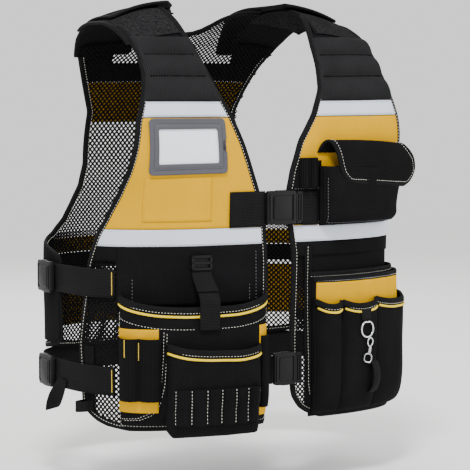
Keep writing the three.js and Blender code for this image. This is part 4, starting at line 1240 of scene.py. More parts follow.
@dataclass
class Front:
    """One front: panel, net, stripes, yellow panel, pad and binding."""

    hand: Hand
    cut: Cut = field(init=False)
    waist_top: float = 76
    tape: float = 22
    chest: tuple[float, float] = (19.2, 24.9)
    pad: tuple[float, float] = (25.1, 54.5)
    channels: int = 3
    pad_crown: float = 8.0
    binding: float = 9.0
    net_end: dict = field(default_factory=lambda: {Hand.RIGHT: -219, Hand.LEFT: 51})

    def __post_init__(self) -> None:
        """Takes the hand's outline."""
        self.cut = (FRONT_RIGHT if self.hand is Hand.RIGHT else FRONT_LEFT).cut(self.hand)

    def build(self) -> None:
        """Makes the cloth of the front."""
        word = self.hand.word
        waist_end = -self.waist_top - self.tape
        upper = self.cut.band(waist_end - 20, 75, 1)
        laid(
            "front_panel_" + word, LINING, "net_cloth", upper, 0.3, 1.4,
            nodes=["front_panel_" + word],
        )
        end = self.net_end[self.hand]
        low = self.cut.band(self.cut.rows[0][0], waist_end - 17, 0)
        heights = np.linspace(low.low, low.high, 60)
        net_rows, rest_rows = [], []
        for v, first, last in zip(heights, *low.edges(heights)):
            t = float(height_turned(v))
            if self.hand is Hand.RIGHT:
                net_rows.append((t, first, max(end, first + 1)))
                rest_rows.append((t, max(end - 2, first + 1), last))
            else:
                net_rows.append((t, min(first, end - 1), end))
                rest_rows.append((t, max(end - 2, first), last))
        rest = Cut(rest_rows, soften=0.5)
        laid("front_lining_" + word, CLOTH, "net_cloth", rest, 0.3, 1.4)
        LATTICE.knit("front_net_" + word, Cut(net_rows, soften=0.5))
        tape, panel = (TAPE, "silver_tape", LAYER.one + 0.7, 1.0), (YELLOW, "yellow_cloth", LAYER.one, 1.6)
        for name, bottom, top, (finish, slot, lift, thick) in (
            ("reflective_chest_", *self.chest, tape),
            ("reflective_waist_", waist_end, -self.waist_top, tape),
            ("yellow_panel_", -self.waist_top + 0.5, self.chest[0] - 0.3, panel),
        ):
            cut = self.cut.band(bottom, top, 2, level=True)
            laid(name + word, finish, slot, cut, lift, thick, nodes=[name + word])
        waistband = self.cut.band(waist_end - 20, waist_end - 0.5, 3)
        laid("waistband_" + word, CLOTH, "woven_cloth", waistband, LAYER.net, 1.4)
        self.quilt()
        self.dress()

    def quilt(self) -> None:
        """Makes the shoulder pad, full between its sewn channels."""
        low, high = self.pad
        cut = self.cut.band(low, high, 3, level=True)

        def fullness(s: Array, t: Array) -> Array:
            """Thickness of the pad at a place."""
            v = unlevelled(s, height_flat(t))
            up = share(v, cut.low, cut.high)
            start, end = cut.edges(v)
            across = np.clip((s - start) / (end - start), 0, 1)
            channel = np.abs(np.sin(math.pi * self.channels * up)) ** 0.75
            rim = (1 - np.abs(2 * across - 1) ** 7) ** 0.5
            pucker = 0.3 * np.sin(s / 2.7 + 1.5 * np.sin(v / 9)) * np.exp(-channel * 3)
            return 2.2 + (self.pad_crown * channel + pucker) * rim

        pad = cloth("shoulder_pad_" + self.hand.word, TWILL, cut, LAYER.one, fullness, 2.2)
        fitted(pad, "lined_net", "shoulder_pad_" + self.hand.word)

    def dress(self) -> None:
        """Binds the edges, sews the stripes, and sews the pad's channels with thick black beads that are
        painted shade for its grooves.
        """
        word = self.hand.word
        edge = Track.over(self.cut.border(self.binding / 2 - 0.5, 74), 2.4)
        strips("front_binding_" + word, BINDING, [edge], rounded(self.binding, 5.4))
        seam = Track.over(self.cut.border(self.binding - 2.4, 34), 5.1, pitch=3)
        inside = Track.over(self.cut.border(self.binding - 2.4, 34), -0.4, pitch=3)
        SEAM.sewn("front_seam_" + word, WHITE_THREAD, [seam, inside])
        lines = []
        waist_end = -self.waist_top - self.tape
        for t in (self.chest[0] + 0.7, self.chest[1] - 0.7, waist_end + 2.2, -self.waist_top - 2.2):
            lines.append(self.across(t, LAYER.one + 1.7))
        FINE_SEAM.sewn("stripe_seams_" + word, GREY_THREAD, lines, slot="silver_tape")
        heights = np.linspace(*self.pad, self.channels + 1)[1:-1].tolist()
        channels = [self.across(t, LAYER.one + 3.0) for t in heights]
        # The channel seams are real, but they are drawn thick and black as painted shade in the pad's
        # grooves.
        CHANNEL_SEAM_SHADE.sewn("pad_seams_" + word, BLACK_THREAD, channels, slot="lined_net")

    def across(self, t: float, lift: float, margin: float = 9) -> Track:
        """A seam from edge to edge at one height."""
        cut = self.cut.band(t, t + 0.1 if t > 0 else t + 0.5, margin, level=True)
        s, v = cut.place(np.linspace(0, 1, 40), np.zeros(40))
        return Track.over(list(zip(s.tolist(), height_turned(v).tolist())), lift)


@dataclass
class ShoulderStraps:
    """The front's loop-faced strap and the back strap that comes over it."""

    hand: Hand
    curl: float = 6.0
    tip: float = 0.8

    def build(self) -> None:
        """Makes both straps and binds their edges."""
        word = self.hand.word
        over = BACK_STRAP.cut(self.hand, Side.BACK)
        under = STRAP.cut(self.hand)
        laid(
            "shoulder_strap_" + word, LOOPS, "loop_pile", under, LAYER.one, self.pile, 2.0,
            nodes=["shoulder_strap_" + word],
        )

        def lift(s: Array, t: Array) -> Array:
            """The tip curls up at the arm's edge."""
            up = share(height_flat(t), over.low, over.high)
            start, end = over.edges(height_flat(t))
            out = np.clip((s - start) / (end - start), 0, 1)
            out = out if self.hand is Hand.RIGHT else 1 - out
            return LAYER.two + 1 + self.curl * share(up, self.tip, 1) ** 2 * out

        laid(
            "back_strap_" + word, LOOPS, "lined_net", over, lift, 2.2, 3.0,
            nodes=["back_strap_" + word],
        )
        lining_cut = over.band(46, 95, 3)
        laid(
            "back_strap_lining_" + word, LINING, "lined_net", lining_cut,
            lambda s, t: lift(s, t) - 1.1, 0.9, 3.0,
        )
        border = over.border(2.5, hem=False)
        left, right = border[:EDGE_POINTS], border[EDGE_POINTS:]
        edges = (left, right, [left[0], right[-1]])
        tracks = [Track.over(line, lambda s, t: lift(s, t) + 0.9, Side.BACK, 3) for line in edges]
        strips("back_strap_binding_" + word, BINDING, tracks, rounded(6.5, 4.4))
        border = under.border(2.5, hem=False)
        edges = (border[:EDGE_POINTS], border[EDGE_POINTS:])
        tracks = [Track.over(line, LAYER.one + 1.2, Side.FRONT, 3) for line in edges]
        strips("shoulder_strap_binding_" + word, BINDING, tracks, rounded(6.5, 4.0))

    @staticmethod
    def pile(s: Array, t: Array) -> Array:
        """Thickness of the loop pile, with small tufts."""
        return 1.6 + 0.35 * np.sin(s * 1.9 + np.sin(t * 3.1)) * np.sin(t * 5.3 + np.sin(s * 0.7))


# Chest


@dataclass
class CardWindow:
    """A vinyl window with a bare card behind it, and the stitched patch that hides a magnet."""

    left: float = -188
    width: float = 109
    top: float = 18.6
    height: float = 71
    border: float = 12
    corner: float = 6
    seam: float = 5.8  # from the frame's edge to its seam
    notch: float = 7.5  # radius of the thumb notch in the frame's right edge
    patch: tuple[float, float, float, float] = (-192, -100, -66, -7)

    def build(self) -> None:
        """Makes the frame, the raised beads, the card and the patch."""
        low = lower(self.top, self.height)
        start, end = self.left + 8, self.left + self.width - 8
        card = LevelCut([(lower(low, -8), start, end), (lower(self.top, 8), start, end)], soften=0.5)
        laid("id_card", CARD, "white_card", card, LAYER.two, 0.8, nodes=["id_card"])
        self.window()
        start, end, bottom, top = self.patch
        patch = rectangle(start, end, bottom, top)
        laid(
            "magnet_patch", YELLOW, "yellow_cloth", patch, LAYER.one + 1.3, 0.9,
            nodes=["magnet_patch"],
        )
        line = [(start + 1, top - 1), (start + 1, bottom + 2), (end, bottom + 2)]
        FINE_SEAM.sewn("magnet_seam", GOLD_THREAD, [Track.over(line, LAYER.two + 0.1)], slot="yellow_cloth")

    def window(self) -> None:
        """Makes the frame as oblongs one inside the other, with raised beads and a thumb notch."""
        middle = self.left + self.width / 2
        v_top = float(height_flat(self.top))
        v_low = float(height_flat(lower(self.top, self.height)))
        high, v_middle = v_top - v_low, (v_top + v_low) / 2
        rings = np.array([0, 0.8, 1.6, 2.4, 3.4, 5.0, 5.8, 6.6, 8.4, 9.2, 10.0, 11.0, self.border])
        corners = np.maximum(self.corner - 0.6 * rings, 2.2)
        line = np.stack([oblong(self.width - 2 * d, high - 2 * d, r) for d, r in zip(rings, corners)])
        count = line.shape[1]
        away = line - np.array([self.width / 2 + 0.5, 0.0])
        far = np.linalg.norm(away, axis=-1, keepdims=True)
        line = np.where(far < self.notch, line - away + away / far * self.notch, line)
        bm = bmesh.new()
        bmesh.ops.create_grid(bm, x_segments=count, y_segments=len(rings) - 1, size=0.5)
        shares = np.array([vert.co[:2] for vert in bm.verts]) + 0.5
        ring = np.rint(shares[:, 1] * (len(rings) - 1)).astype(int)
        spot = line[ring, np.rint(shares[:, 0] * count).astype(int) % count]
        bead = np.exp(-(((rings - 1.6) / 0.9) ** 2)) + 0.8 * np.exp(-(((rings - 9.6) / 0.9) ** 2))
        groove = -0.5 * np.exp(-(((rings - self.seam) / 0.7) ** 2))
        s = middle + spot[:, 0]
        raised = levelled(s, v_middle + spot[:, 1])
        placed(bm, np.stack([s, raised, np.zeros(len(spot))], axis=-1))
        bmesh.ops.remove_doubles(bm, verts=bm.verts, dist=1e-3)
        thickened(bm)

        def thickness(s: Array, t: Array) -> Array:
            """Raised beads round the outer and the inner edge, and a groove for the seam."""
            to_side = self.width / 2 - np.abs(s - middle)
            to_end = high / 2 - np.abs(unlevelled(s, height_flat(t)) - v_middle)
            depth = np.minimum(to_side, to_end)
            return 1.6 + 0.9 * np.interp(depth, rings, bead) + np.interp(depth, rings, groove)

        draped(bm, Side.FRONT, LAYER.two + 1.2, thickness)
        fitted(written("id_frame", bm, VINYL), "grey_vinyl", "id_frame")
        x, y = oblong(self.width - 2 * self.seam, high - 2 * self.seam, 4.0).T
        raised = levelled(middle + x, v_middle + y)
        loop = list(zip((middle + x).tolist(), height_turned(raised).tolist()))
        seam = Track.over(loop, LAYER.two + 2.6, closed=True, pitch=3)
        FINE_SEAM.sewn("id_frame_seam", BLACK_THREAD, [seam], slot="grey_vinyl")


@dataclass
class Buckle:
    """A side-release buckle with its ladder, seated flat on the cloth."""

    name: str
    s: float
    t: float
    side: Side
    lift: float
    socket: float
    height: float
    thick: float
    ladder: float = 0.0

    def build(self, nodes: Sequence[str]) -> None:
        """Moulds the buckle.

        Args:
            nodes: CAD nodes that it stands for, the socket's first.
        """
        bm = bmesh.new()
        long, high, deep = self.socket, self.height, self.thick
        block(bm, (long, high, deep * 0.8), (0, 0, deep * 0.4), 4.5, 0.9)
        block(bm, (long * 0.62, high - 13, deep * 0.3), (long * 0.02, 0, deep * 0.85), 3, 0.7)
        for way in (-1, 1):
            prong = (long * 0.02, way * (high / 2 - 1.5), deep * 0.42)
            block(bm, (long * 0.4, 4.4, deep * 0.72), prong, 1.6, 0.7)
            block(bm, (2.2, high - 10, deep * 0.22), (way * long * 0.4, 0, deep * 0.86), 0.8, 0.4)
        block(bm, (3.4, high - 9, 1.2), (-long / 2 + 5.5, 0, deep * 0.84), 1.0, 0.4)
        where = FORM.seat(self.s, self.t, self.side, self.lift)
        bmesh.ops.transform(bm, matrix=where, verts=bm.verts)
        fitted(smoothed(written(self.name, bm, ACETAL)), "black_plastic", nodes[0])
        if self.ladder:
            self.bars(nodes[1])

    def bars(self, node: str) -> None:
        """Moulds the ladder that the webbing runs through."""
        bm = bmesh.new()
        long, high, deep = self.ladder, self.height - 3, self.thick * 0.62
        for x in (-long / 2 + 1.5, long / 2 - 1.7):
            block(bm, (3.0, high, deep), (x, 0, deep / 2), 1.2, 0.6)
        for way in (-1, 1):
            block(bm, (long, 3.6, deep), (0, way * (high / 2 - 1.8), deep / 2), 1.2, 0.6)
        block(bm, (2.6, high - 5, deep * 0.7), (0.2, 0, deep * 0.55), 0.8, 0.5)
        s = self.s + self.socket / 2 + self.ladder / 2 + GAP
        where = FORM.seat(s, self.t, self.side, self.lift)
        bmesh.ops.transform(bm, matrix=where, verts=bm.verts)
        fitted(smoothed(written(node, bm, ACETAL)), "black_plastic", node)


def webbing(name: str, cut: Cut, lift: Amount, thick: float = 1.8, cell: float = 3.0) -> None:
    """Makes a length of ribbed webbing with rounded selvedges, which stands for the node of its name."""
    middle = (cut.low + cut.high) / 2
    half = (cut.high - cut.low) / 2

    def full(s: Array, t: Array) -> Array:
        """Thickness, less at the selvedges."""
        edge = np.clip(np.abs(height_flat(t) - middle) / half, 0, 1)
        return thick * (1 - 0.45 * edge**10)

    laid(name, WEBBING, "black_webbing", cut, lift, full, cell, nodes=[name])


@dataclass
class ChestFastening:
    """Chest strap: a sewn anchor, a buckle and a short webbing."""

    top: float = 28
    width: float = 45
    anchor: float = 54
    socket: float = 46
    ladder: float = 11
    thick: float = 9
    tail: float = 25

    def build(self) -> None:
        """Makes the strap from right to left."""
        left = -self.socket / 2 + 3
        low, middle = -self.top - self.width, -self.top - self.width / 2
        anchor = rectangle(left - self.anchor, left - GAP, low - 2.3, -self.top)
        webbing("chest_anchor", anchor, LAYER.two + 0.3)
        names = ["chest_buckle_socket", "chest_buckle_plug"]
        at = (left + self.socket / 2, middle, Side.FRONT, LAYER.two)
        Buckle(names[0], *at, self.socket, self.width, self.thick, self.ladder).build(names)
        start = left + self.socket + self.ladder + 2 * GAP
        tail = rectangle(start, start + self.tail, low - 2.3, -self.top - 1)
        webbing("chest_webbing", tail, LAYER.two + 0.3)
        edge, foot, head = left - self.anchor, low + 4, -self.top - 4
        lines = [[(s, foot), (s + 1.2, head)] for s in (edge + 19 + 5.2 * i for i in range(4))]
        lines.append([(edge + 3, foot), (edge + 3, head)])
        tracks = [Track.over(line, LAYER.two + 2.2) for line in lines]
        FINE_SEAM.sewn("chest_anchor_seam", BLACK_THREAD, tracks, slot="black_webbing")


@dataclass
class WaistFastening:
    """Waist strap: a buckle that closes the fronts and a short webbing."""

    top: float = 246
    width: float = 44
    socket: float = 34
    ladder: float = 11
    thick: float = 9
    left: float = -8
    tail: float = 13

    def build(self) -> None:
        """Makes the buckle and its webbing."""
        middle = -self.top - self.width / 2
        names = ["waist_buckle_socket", "waist_buckle_plug"]
        at = (self.left + self.socket / 2, middle, Side.FRONT, LAYER.one)
        Buckle(names[0], *at, self.socket, self.width, self.thick, self.ladder).build(names)
        cut = rectangle(self.left - self.tail, self.left - GAP, -self.top - self.width + 2, -self.top - 2)
        webbing("waist_webbing", cut, LAYER.one)


# Pouches on the right front


def fullness(across: Array, up: Array, sides: float = 5, foot: float = 0.25) -> Array:
    """Share of its depth by which a pouch stands off at a place."""
    side = (1 - np.abs(2 * share(across) - 1) ** sides) ** 0.6
    rise = np.minimum(share(up) / foot, 1)
    return side * np.sqrt(np.clip(1 - (1 - rise) ** 2, 0, 1))


@dataclass
class Pouch:
    """A cloth front that stands off and is sewn down at its two sides and its foot."""

    name: str
    left: float
    right: float
    foot: float
    top: float
    depth: float
    wall: float
    sides: float = 6
    heel: float = 0.3
    base: Amount = LAYER.pouch
    dip: float = 0.0  # how far the rim hangs in the middle
    bend: float = 3.0  # how squarely it hangs
    lean: float = 0.0  # how much higher its left end is than its middle
    heels: tuple[float, float] = (0.0, 0.0)  # rise of the foot at both ends
    slump: float = 0.8  # soft creases of unfilled cloth

    def face(self, s: Array, t: Array) -> Array:
        """Lift of the pouch's outer face."""
        across = share(s, self.left, self.right)
        v = height_flat(t)
        up = share(v, float(height_flat(self.foot)), float(height_flat(self.top)))
        stand = fullness(across, up, self.sides, self.heel)
        crease = np.sin(s / 9 + v / 31) * np.sin(v / 19 + 1.3) + 0.6 * np.sin(s / 5.1 - v / 43)
        held = share(across, 0, 0.08) * share(1 - across, 0, 0.08) * share(up, 0, 0.2)
        return self.over_base(s, t, stand, crease * held)

    def over_base(self, s: Array, t: Array, stand: Array, crease: Array) -> Array:
        """Adds the wall, the depth's share and the creases to the base's lift."""
        return amount(self.base, s, t) + self.wall + self.depth * stand + self.slump * crease

    def over_face(self, out: float) -> Callable[[Array, Array], Array]:
        """The lift some way over the outer face."""
        return lambda s, t: self.face(s, t) + out

    def rim(self, s: Array) -> Array:
        """Rise of the rim at a place, which is less in the middle."""
        across = share(s, self.left, self.right)
        return self.dip * (np.abs(2 * across - 1) ** self.bend - 0.4) + self.lean * (1 - 2 * across)

    def hem(self, s: Array) -> Array:
        """Rise of the foot at a place: rounded corners."""
        across = share(s, self.left, self.right)
        return self.heels[0] * share(1 - across, 0.93, 1) ** 1.6 + self.heels[1] * share(across, 0.93, 1) ** 2

    def cut(self) -> Cut:
        """The front's flat cut."""
        rim = self.rim if self.dip else None
        foot = self.hem if any(self.heels) else None
        return rectangle(self.left, self.right, self.foot, self.top, rim=rim, foot=foot)

    def rim_line(self, drop: float, inset: float = 1.0) -> list[tuple[float, float]]:
        """A line along the rim, some way below it."""
        s = np.linspace(self.left + inset, self.right - inset, 60)
        v = float(height_flat(self.top)) + self.rim(s) - drop
        return list(zip(s.tolist(), height_turned(v).tolist()))

    def build(self, slot: str = "woven_cloth", cell: float = 3.0) -> None:
        """Makes the front, which stands for the node of its name."""
        lift = self.over_face(-self.wall)
        laid(self.name, CLOTH, slot, self.cut(), lift, self.wall, cell, nodes=[self.name])

    def trim(self, piped: float, bound: float = 10.0) -> None:
        """Binds the rim, sews it and lays a piping under it."""
        tracks = [Track.over(self.rim_line(bound / 2 - 1.5), self.over_face(-self.wall / 2), pitch=3)]
        strips(self.name + "_binding", BINDING, tracks, rounded(bound, self.wall + 2.0))
        seam = Track.over(self.rim_line(bound - 3.2), self.over_face(0.7), pitch=3)
        SEAM.sewn(self.name + "_rim_seam", WHITE_THREAD, [seam])
        if piped:
            cord = Track.over(self.rim_line(bound + 1.6), self.over_face(0.4), pitch=3)
            strips(self.name + "_piping", PIPING, [cord], rounded(piped, piped, 8, 2), slot="yellow_cloth")

    def edge_seams(self, inset: float, finish: Finish = WHITE_THREAD) -> None:
        """Sews both sides and the foot."""
        v = np.linspace(self.top - 12, self.foot + inset, 40)
        left = [(self.left + inset, float(t)) for t in v]
        right = [(self.right - inset, float(t)) for t in v[::-1]]
        track = Track.over(left + right, self.over_face(0.3), pitch=3)
        SEAM.sewn(self.name + "_seam", finish, [track])


HEM = -341.0
TOOL = Pouch("tool_pouch", -221, -22, HEM + 5, -170, 32, 2.0, dip=16, heels=(8.0, 8.0))
NAIL_FOOT = 40.0


def nail_base(s: Array, t: Array) -> Array:
    """What the nail pouch is sewn to: the tool pouch's face."""
    return TOOL.face(s, np.maximum(t, HEM - 7 + NAIL_FOOT)) + GAP


NAIL = Pouch(
    "nail_pouch", -166, -47, HEM - 5, -229, 17, 2.0, 6, 0.2, nail_base,
    dip=8, lean=2.5, slump=0.5, heels=(10.0, 5.0),
)


@dataclass
class Tubes:
    """A band sewn down between its tubes, so that each tube is open at both ends."""

    name: str
    left: float
    width: float
    bottom: float
    top: float
    count: int
    depth: float
    base: Callable[[Array, Array], Array]
    wall: float = 1.6
    ease: float = 1.35  # how much wider the flat elastic is

    def lift(self, s: Array, t: Array) -> Array:
        """Lift of the band's inner face."""
        place = (share(s, self.left, self.left + self.width) * self.count) % 1
        return self.base(s, t) + GAP + self.depth * np.sin(math.pi * place) ** 0.7

    def build(self, cell: float = 1.8) -> None:
        """Makes the band, which stands for the node of its name."""
        cut = rectangle(self.left, self.left + self.width, self.bottom, self.top)
        columns = self.count * max(6, round(self.width / self.count / cell))
        piece = cloth(self.name, ELASTIC, cut, self.lift, self.wall, cell, columns)
        fitted(piece, "black_elastic", self.name)

    def seams(self, finish: Finish, stitching: Stitching, bottom: float, top: float) -> None:
        """Sews the band down between its tubes and at both ends."""
        lines = []
        for i in range(self.count + 1):
            s = self.left + self.width * i / self.count
            s = min(max(s, self.left + 0.8), self.left + self.width - 0.8)
            over = [(s, bottom), (s, top)]
            lines.append(Track.over(over, lambda a, b: self.base(a, b) + GAP + self.wall + 0.9, pitch=3))
        stitching.sewn(self.name + "_seams", finish, lines, slot="black_elastic")


@dataclass
class ToolPouches:
    """The large pouch, its strap and the nail pouch with its bit band."""

    strap_left: float = -128
    strap_width: float = 25
    strap_top: float = 110
    strap_sewn: float = 206
    buckle: float = 20
    buckle_thick: float = 6
    backing_from: float = -226  # where the backing ends at the side

    def build(self) -> None:
        """Makes the pouches and what is sewn to them."""
        self.backing()
        TOOL.build()
        TOOL.trim(piped=3.4)
        TOOL.edge_seams(3)
        line = TOOL.rim_line(28, 3)
        start, end = self.strap_left - 2, self.strap_left + self.strap_width + 2
        parts = [p for p in line if p[0] < start], [p for p in line if p[0] > end]
        tracks = [Track.over(part, TOOL.over_face(0.3), pitch=3) for part in parts]
        SEAM.sewn("tool_pouch_band_seam", WHITE_THREAD, tracks)
        self.strap()
        NAIL.build()
        NAIL.trim(piped=3.4)
        bits = Tubes("bit_band", -159, 104, -328, -280, 6, 6.5, NAIL.face)
        bits.build()
        bits.seams(WHITE_THREAD, BOLD_SEAM, -327, -281)

    def backing(self) -> None:
        """Makes the cloth behind the open pouch, with bits of grey stitching."""
        cut = FRONT_RIGHT.cut(Hand.RIGHT).band(-176, -99, 6)
        heights = np.linspace(cut.low, cut.high, 30)
        start, end = cut.edges(heights)
        columns = (height_turned(heights), np.maximum(start, self.backing_from), end)
        cut = Cut(np.stack(columns, axis=-1).tolist(), soften=0.5)
        laid(
            "pouch_backing", CLOTH, "woven_cloth", cut, LAYER.one,
            nodes=["pouch_backing"],
        )
        lines = [[(-34, -106), (-34, -172)], [(-44, -150), (-44, -172)], [(-205, -140), (-205, -172)]]
        tracks = [Track.over(line, LAYER.two + 0.2) for line in lines]
        SEAM.sewn("pouch_backing_seams", GREY_THREAD, tracks)

    def strap(self) -> None:
        """Makes the strap that holds a tool in, from its ladder buckle down over the rim."""
        end = -self.strap_top - self.buckle

        def lift(s: Array, t: Array) -> Array:
            """Falls from the backing on to the pouch's face."""
            rim = TOOL.top
            face = TOOL.face(s, np.minimum(t, rim - 8)) + 2.2
            return face + (LAYER.two - face) * eased(t, rim, end)

        cut = rectangle(self.strap_left, self.strap_left + self.strap_width, -self.strap_sewn, end - GAP)
        laid(
            "tool_strap", WEBBING, "black_webbing", cut, lift, 1.8, 2.5,
            nodes=["tool_strap"],
        )
        right = self.strap_left + self.strap_width
        double = rectangle(self.strap_left - 1, right + 1, TOOL.top + 14, end - GAP)
        laid(
            "tool_strap_double", WEBBING, "black_webbing", double, lambda s, t: lift(s, t) + 2.2,
            1.8, 2.5,
        )
        bm = bmesh.new()
        wide, high, deep = self.strap_width + 4, self.buckle, self.buckle_thick
        for y in (-high / 2 + 1.8, 0, high / 2 - 1.8):
            block(bm, (wide, 3.4, deep), (0, y, deep / 2), 1.2, 0.6)
        for x in (-wide / 2 + 1.7, wide / 2 - 1.7):
            block(bm, (3.4, high, deep), (x, 0, deep / 2), 1.2, 0.6)
        block(bm, (wide - 4, high - 4, deep * 0.5), (0, 0, deep * 0.3), 1.2, 0.5)
        s, t = self.strap_left + self.strap_width / 2, -self.strap_top - self.buckle / 2
        bmesh.ops.transform(bm, matrix=FORM.seat(s, t, Side.FRONT, LAYER.two), verts=bm.verts)
        fitted(smoothed(written("tool_strap_buckle", bm, ACETAL)), "black_plastic", "tool_strap_buckle")


@dataclass
class ToolSleeves:
    """Elastic sleeves on a yellow ground, left and right of the nail pouch."""

    left: float = -217
    width: float = 47
    top: float = -203
    bottom: float = -313

    def build(self) -> None:
        """Makes both groups of sleeves."""
        ground = rectangle(self.left - 2, self.left + self.width - 4, self.bottom, self.top)
        laid(
            "sleeve_backing", YELLOW, "yellow_cloth", ground, TOOL.over_face(GAP), 1.0, 3.0,
            nodes=["sleeve_backing"],
        )
        low, high = self.bottom + 16, self.top - 12
        over = Tubes("tool_sleeves", self.left - 1, self.width, low, high, 2, 9, TOOL.over_face(GAP + 1.2))
        over.build()
        starts = ((self.left + 9.0, self.top - 13, 9.8), (self.left + self.width / 2 - 1, self.top - 17, 2.6))
        tacks = []
        for s, t, stand in starts:
            tacks.append(Track.over([(s, t), (s, t - 23)], TOOL.over_face(GAP + 2.4 + stand), pitch=3))
        TACK.sewn("tool_sleeve_tacks", GOLD_THREAD, tacks, slot="black_elastic")
        curve = [(-168.5, -206), (-169, -240), (-171, -275), (-176, -300)]
        curve += [(-184, -314), (-197, -321), (-216, -323)]
        for word, shift in (("outer", 0), ("inner", 3.4)):
            line = [(s + shift, t - shift * 0.6) for s, t in curve]
            SEAM.sewn("sleeve_seam_" + word, WHITE_THREAD, [Track.over(line, TOOL.over_face(0.5), pitch=3)])
        side_ground = rectangle(-46, -25, -325, -203)
        laid(
            "side_sleeve_backing", YELLOW, "yellow_cloth", side_ground,
            TOOL.over_face(GAP - 0.2), 0.9, 3.0,
        )
        side = Tubes("side_sleeve", -44, 19, -313, -217, 1, 6, TOOL.over_face(GAP + 0.6))
        side.build()


# Left chest


PHONE = Pouch("phone_pouch", 66, 203, -77, 1, 26, 2.0, sides=7, heel=0.2, base=LAYER.two + GAP, slump=0.5)


@dataclass
class PhonePouch:
    """The phone pouch and the arched flap that closes it."""

    def build(self) -> None:
        """Makes the pouch, its side seams, the flap and the pen sleeves."""
        PHONE.build()
        heights = np.linspace(-75, 3, 14)
        starts = FRONT_LEFT_CUT.edges(height_flat(heights))[0] + 3
        ground = Cut([(t, start, 70.0) for t, start in zip(heights, starts)], soften=0.5)
        laid(
            "pen_backing", CLOTH, "woven_cloth", ground, LAYER.one + 1.7, 0.5, 3.0,
        )
        hems = [Track.over([(26, t), (68, t)], LAYER.two + 0.5, pitch=3) for t in (-26.5, -72)]
        SEAM.sewn("pen_backing_seams", GREY_THREAD, hems)
        self.flap()
        PHONE.edge_seams(4, GREY_THREAD)
        pens = Tubes("pen_sleeves", 33, 29, -26, 4, 2, 8.5, lambda s, t: np.full(np.shape(s), LAYER.two))
        pens.build()

    def flap(self) -> None:
        """Bends the flap from its root up and over the mouth, with rounded lower corners."""
        crown = Arch([(18, 6.6), (25, 9), (30, 15), (29.5, 22), (22, 28), (8, 30.5), (-8, 30.5), (-19, 30)])
        edges = [(0, 63, 196), (14, 69, 194), (24, 74, 200), (36, 78, 212), (48, 81, 219), (58, 85, 217)]
        edges += [(65, 91, 211), (69, 98, 204), (crown.length, 106, 196)]
        cut = Cut([(-w, left, right) for w, left, right in reversed(edges)], soften=3)
        piece = crown.bend("phone_flap", CLOTH, cut, 2.0, 2.5)
        fitted(piece, "woven_cloth", "phone_flap")
        edge = crown.track(cut.border(2.6, -4), 1.0)
        strips("phone_flap_binding", BINDING, [edge], rounded(6, 4.0))
        seam = crown.track(cut.border(6.4, -6), 2.5)
        SEAM.sewn("phone_flap_seam", WHITE_THREAD, [seam])


# Left pockets


REAR = Pouch("rear_pocket_left", 50, 262, HEM + 4, -141, 6.4, 1.6, slump=0.4)
SECOND = Pouch(
    "middle_pocket_left", 53, 259, HEM + 7, -148, 6.4, 1.6, base=REAR.over_face(GAP), slump=0.3
)


@dataclass
class TriplePocket(Pouch):
    """Three pockets side by side with pleats between them and rims that rise to points at the pleats."""

    pleats: tuple[float, float] = (90, 150)
    point: float = 7.0
    outer: float = 0.6  # share of the depth that the side pocket keeps

    @property
    def seams(self) -> list[float]:
        """Where the pockets are sewn down."""
        return [self.left, *self.pleats, self.right]

    def lobe(self, s: Array) -> Array:
        """Share across the pocket that a place is in."""
        part = np.zeros(np.shape(s))
        for start, end in zip(self.seams, self.seams[1:]):
            inside = (s >= start) & (s <= end)
            part = np.where(inside, share(s, start, end), part)
        return part

    def face(self, s: Array, t: Array) -> Array:
        """Lift of the outer face: three lobes."""
        up = share(height_flat(t), self.foot, self.top)
        stand = fullness(self.lobe(s), up, 4, 0.25) * np.where(s > self.pleats[1], self.outer, 1)
        crease = np.sin(s / 6.5 + t / 60) * np.sin(t / 37 + s / 80)
        return self.over_base(s, t, stand, crease * share(up, 0, 0.2))

    def rim(self, s: Array) -> Array:
        """The rim hangs in each pocket's middle and rises to a point at the pleats."""
        part = self.lobe(s)
        return self.point * (np.abs(2 * part - 1) ** 2.5 - 0.4) + self.lean * share(self.pleats[0] - s, 0, 40)


TRIPLE = TriplePocket(
    "triple_pocket_left", 52, 258, HEM + 9, -182, 13, 1.8, 4, 0.25, SECOND.over_face(GAP), 1, lean=3
)


@dataclass
class LeftPockets:
    """A rear pocket, a shallow yellow one and three with scalloped rims, one before the other."""

    def build(self) -> None:
        """Makes the pockets from the back to the front."""
        REAR.build()
        REAR.trim(piped=0, bound=8)
        SECOND.build("yellow_cloth")
        SECOND.trim(piped=0, bound=7)
        face = rectangle(57, 255, -214, -154)
        laid(
            "middle_pocket_face", YELLOW, "yellow_cloth", face,
            SECOND.over_face(0.2), 0.6, 3.0,
        )
        TRIPLE.build(cell=2.2)
        tracks, seams, cords = [], [], []
        for start, end in zip(TRIPLE.seams, TRIPLE.seams[1:]):
            s = np.linspace(start + 1.5, end - 1.5, 30)

            def line(drop: float) -> list[tuple[float, float]]:
                """The rim of one pocket, some way below it."""
                return list(zip(s.tolist(), (TRIPLE.top + TRIPLE.rim(s) - drop).tolist()))

            tracks.append(Track.over(line(3), TRIPLE.over_face(-0.9), pitch=3))
            seams.append(Track.over(line(6.6), TRIPLE.over_face(0.7), pitch=3))
            inner = [p for p in line(10.5) if start + 2 < p[0] < end - 2]
            cords.append(Track.over(inner, TRIPLE.over_face(0.4), pitch=3))
        strips("triple_pocket_binding", BINDING, tracks, rounded(9, 3.8))
        SEAM.sewn("triple_pocket_rim_seam", WHITE_THREAD, seams)
        strips("triple_pocket_piping", PIPING, cords, rounded(3.2, 3.2, 8, 2), slot="yellow_cloth")
        line = [(48, -104), (47.5, -150), (48.5, -210), (49.5, -290), (54, -320), (64, -334)]
        edge = Track.over(line, LAYER.two + 0.9, pitch=3)
        SEAM.sewn("left_pocket_seam", WHITE_THREAD, [edge])
        strip = rectangle(44, 56, -330, -104)
        laid(
            "left_pocket_edge", CLOTH, "woven_cloth", strip, LAYER.one, 1.6, 3.0,
        )


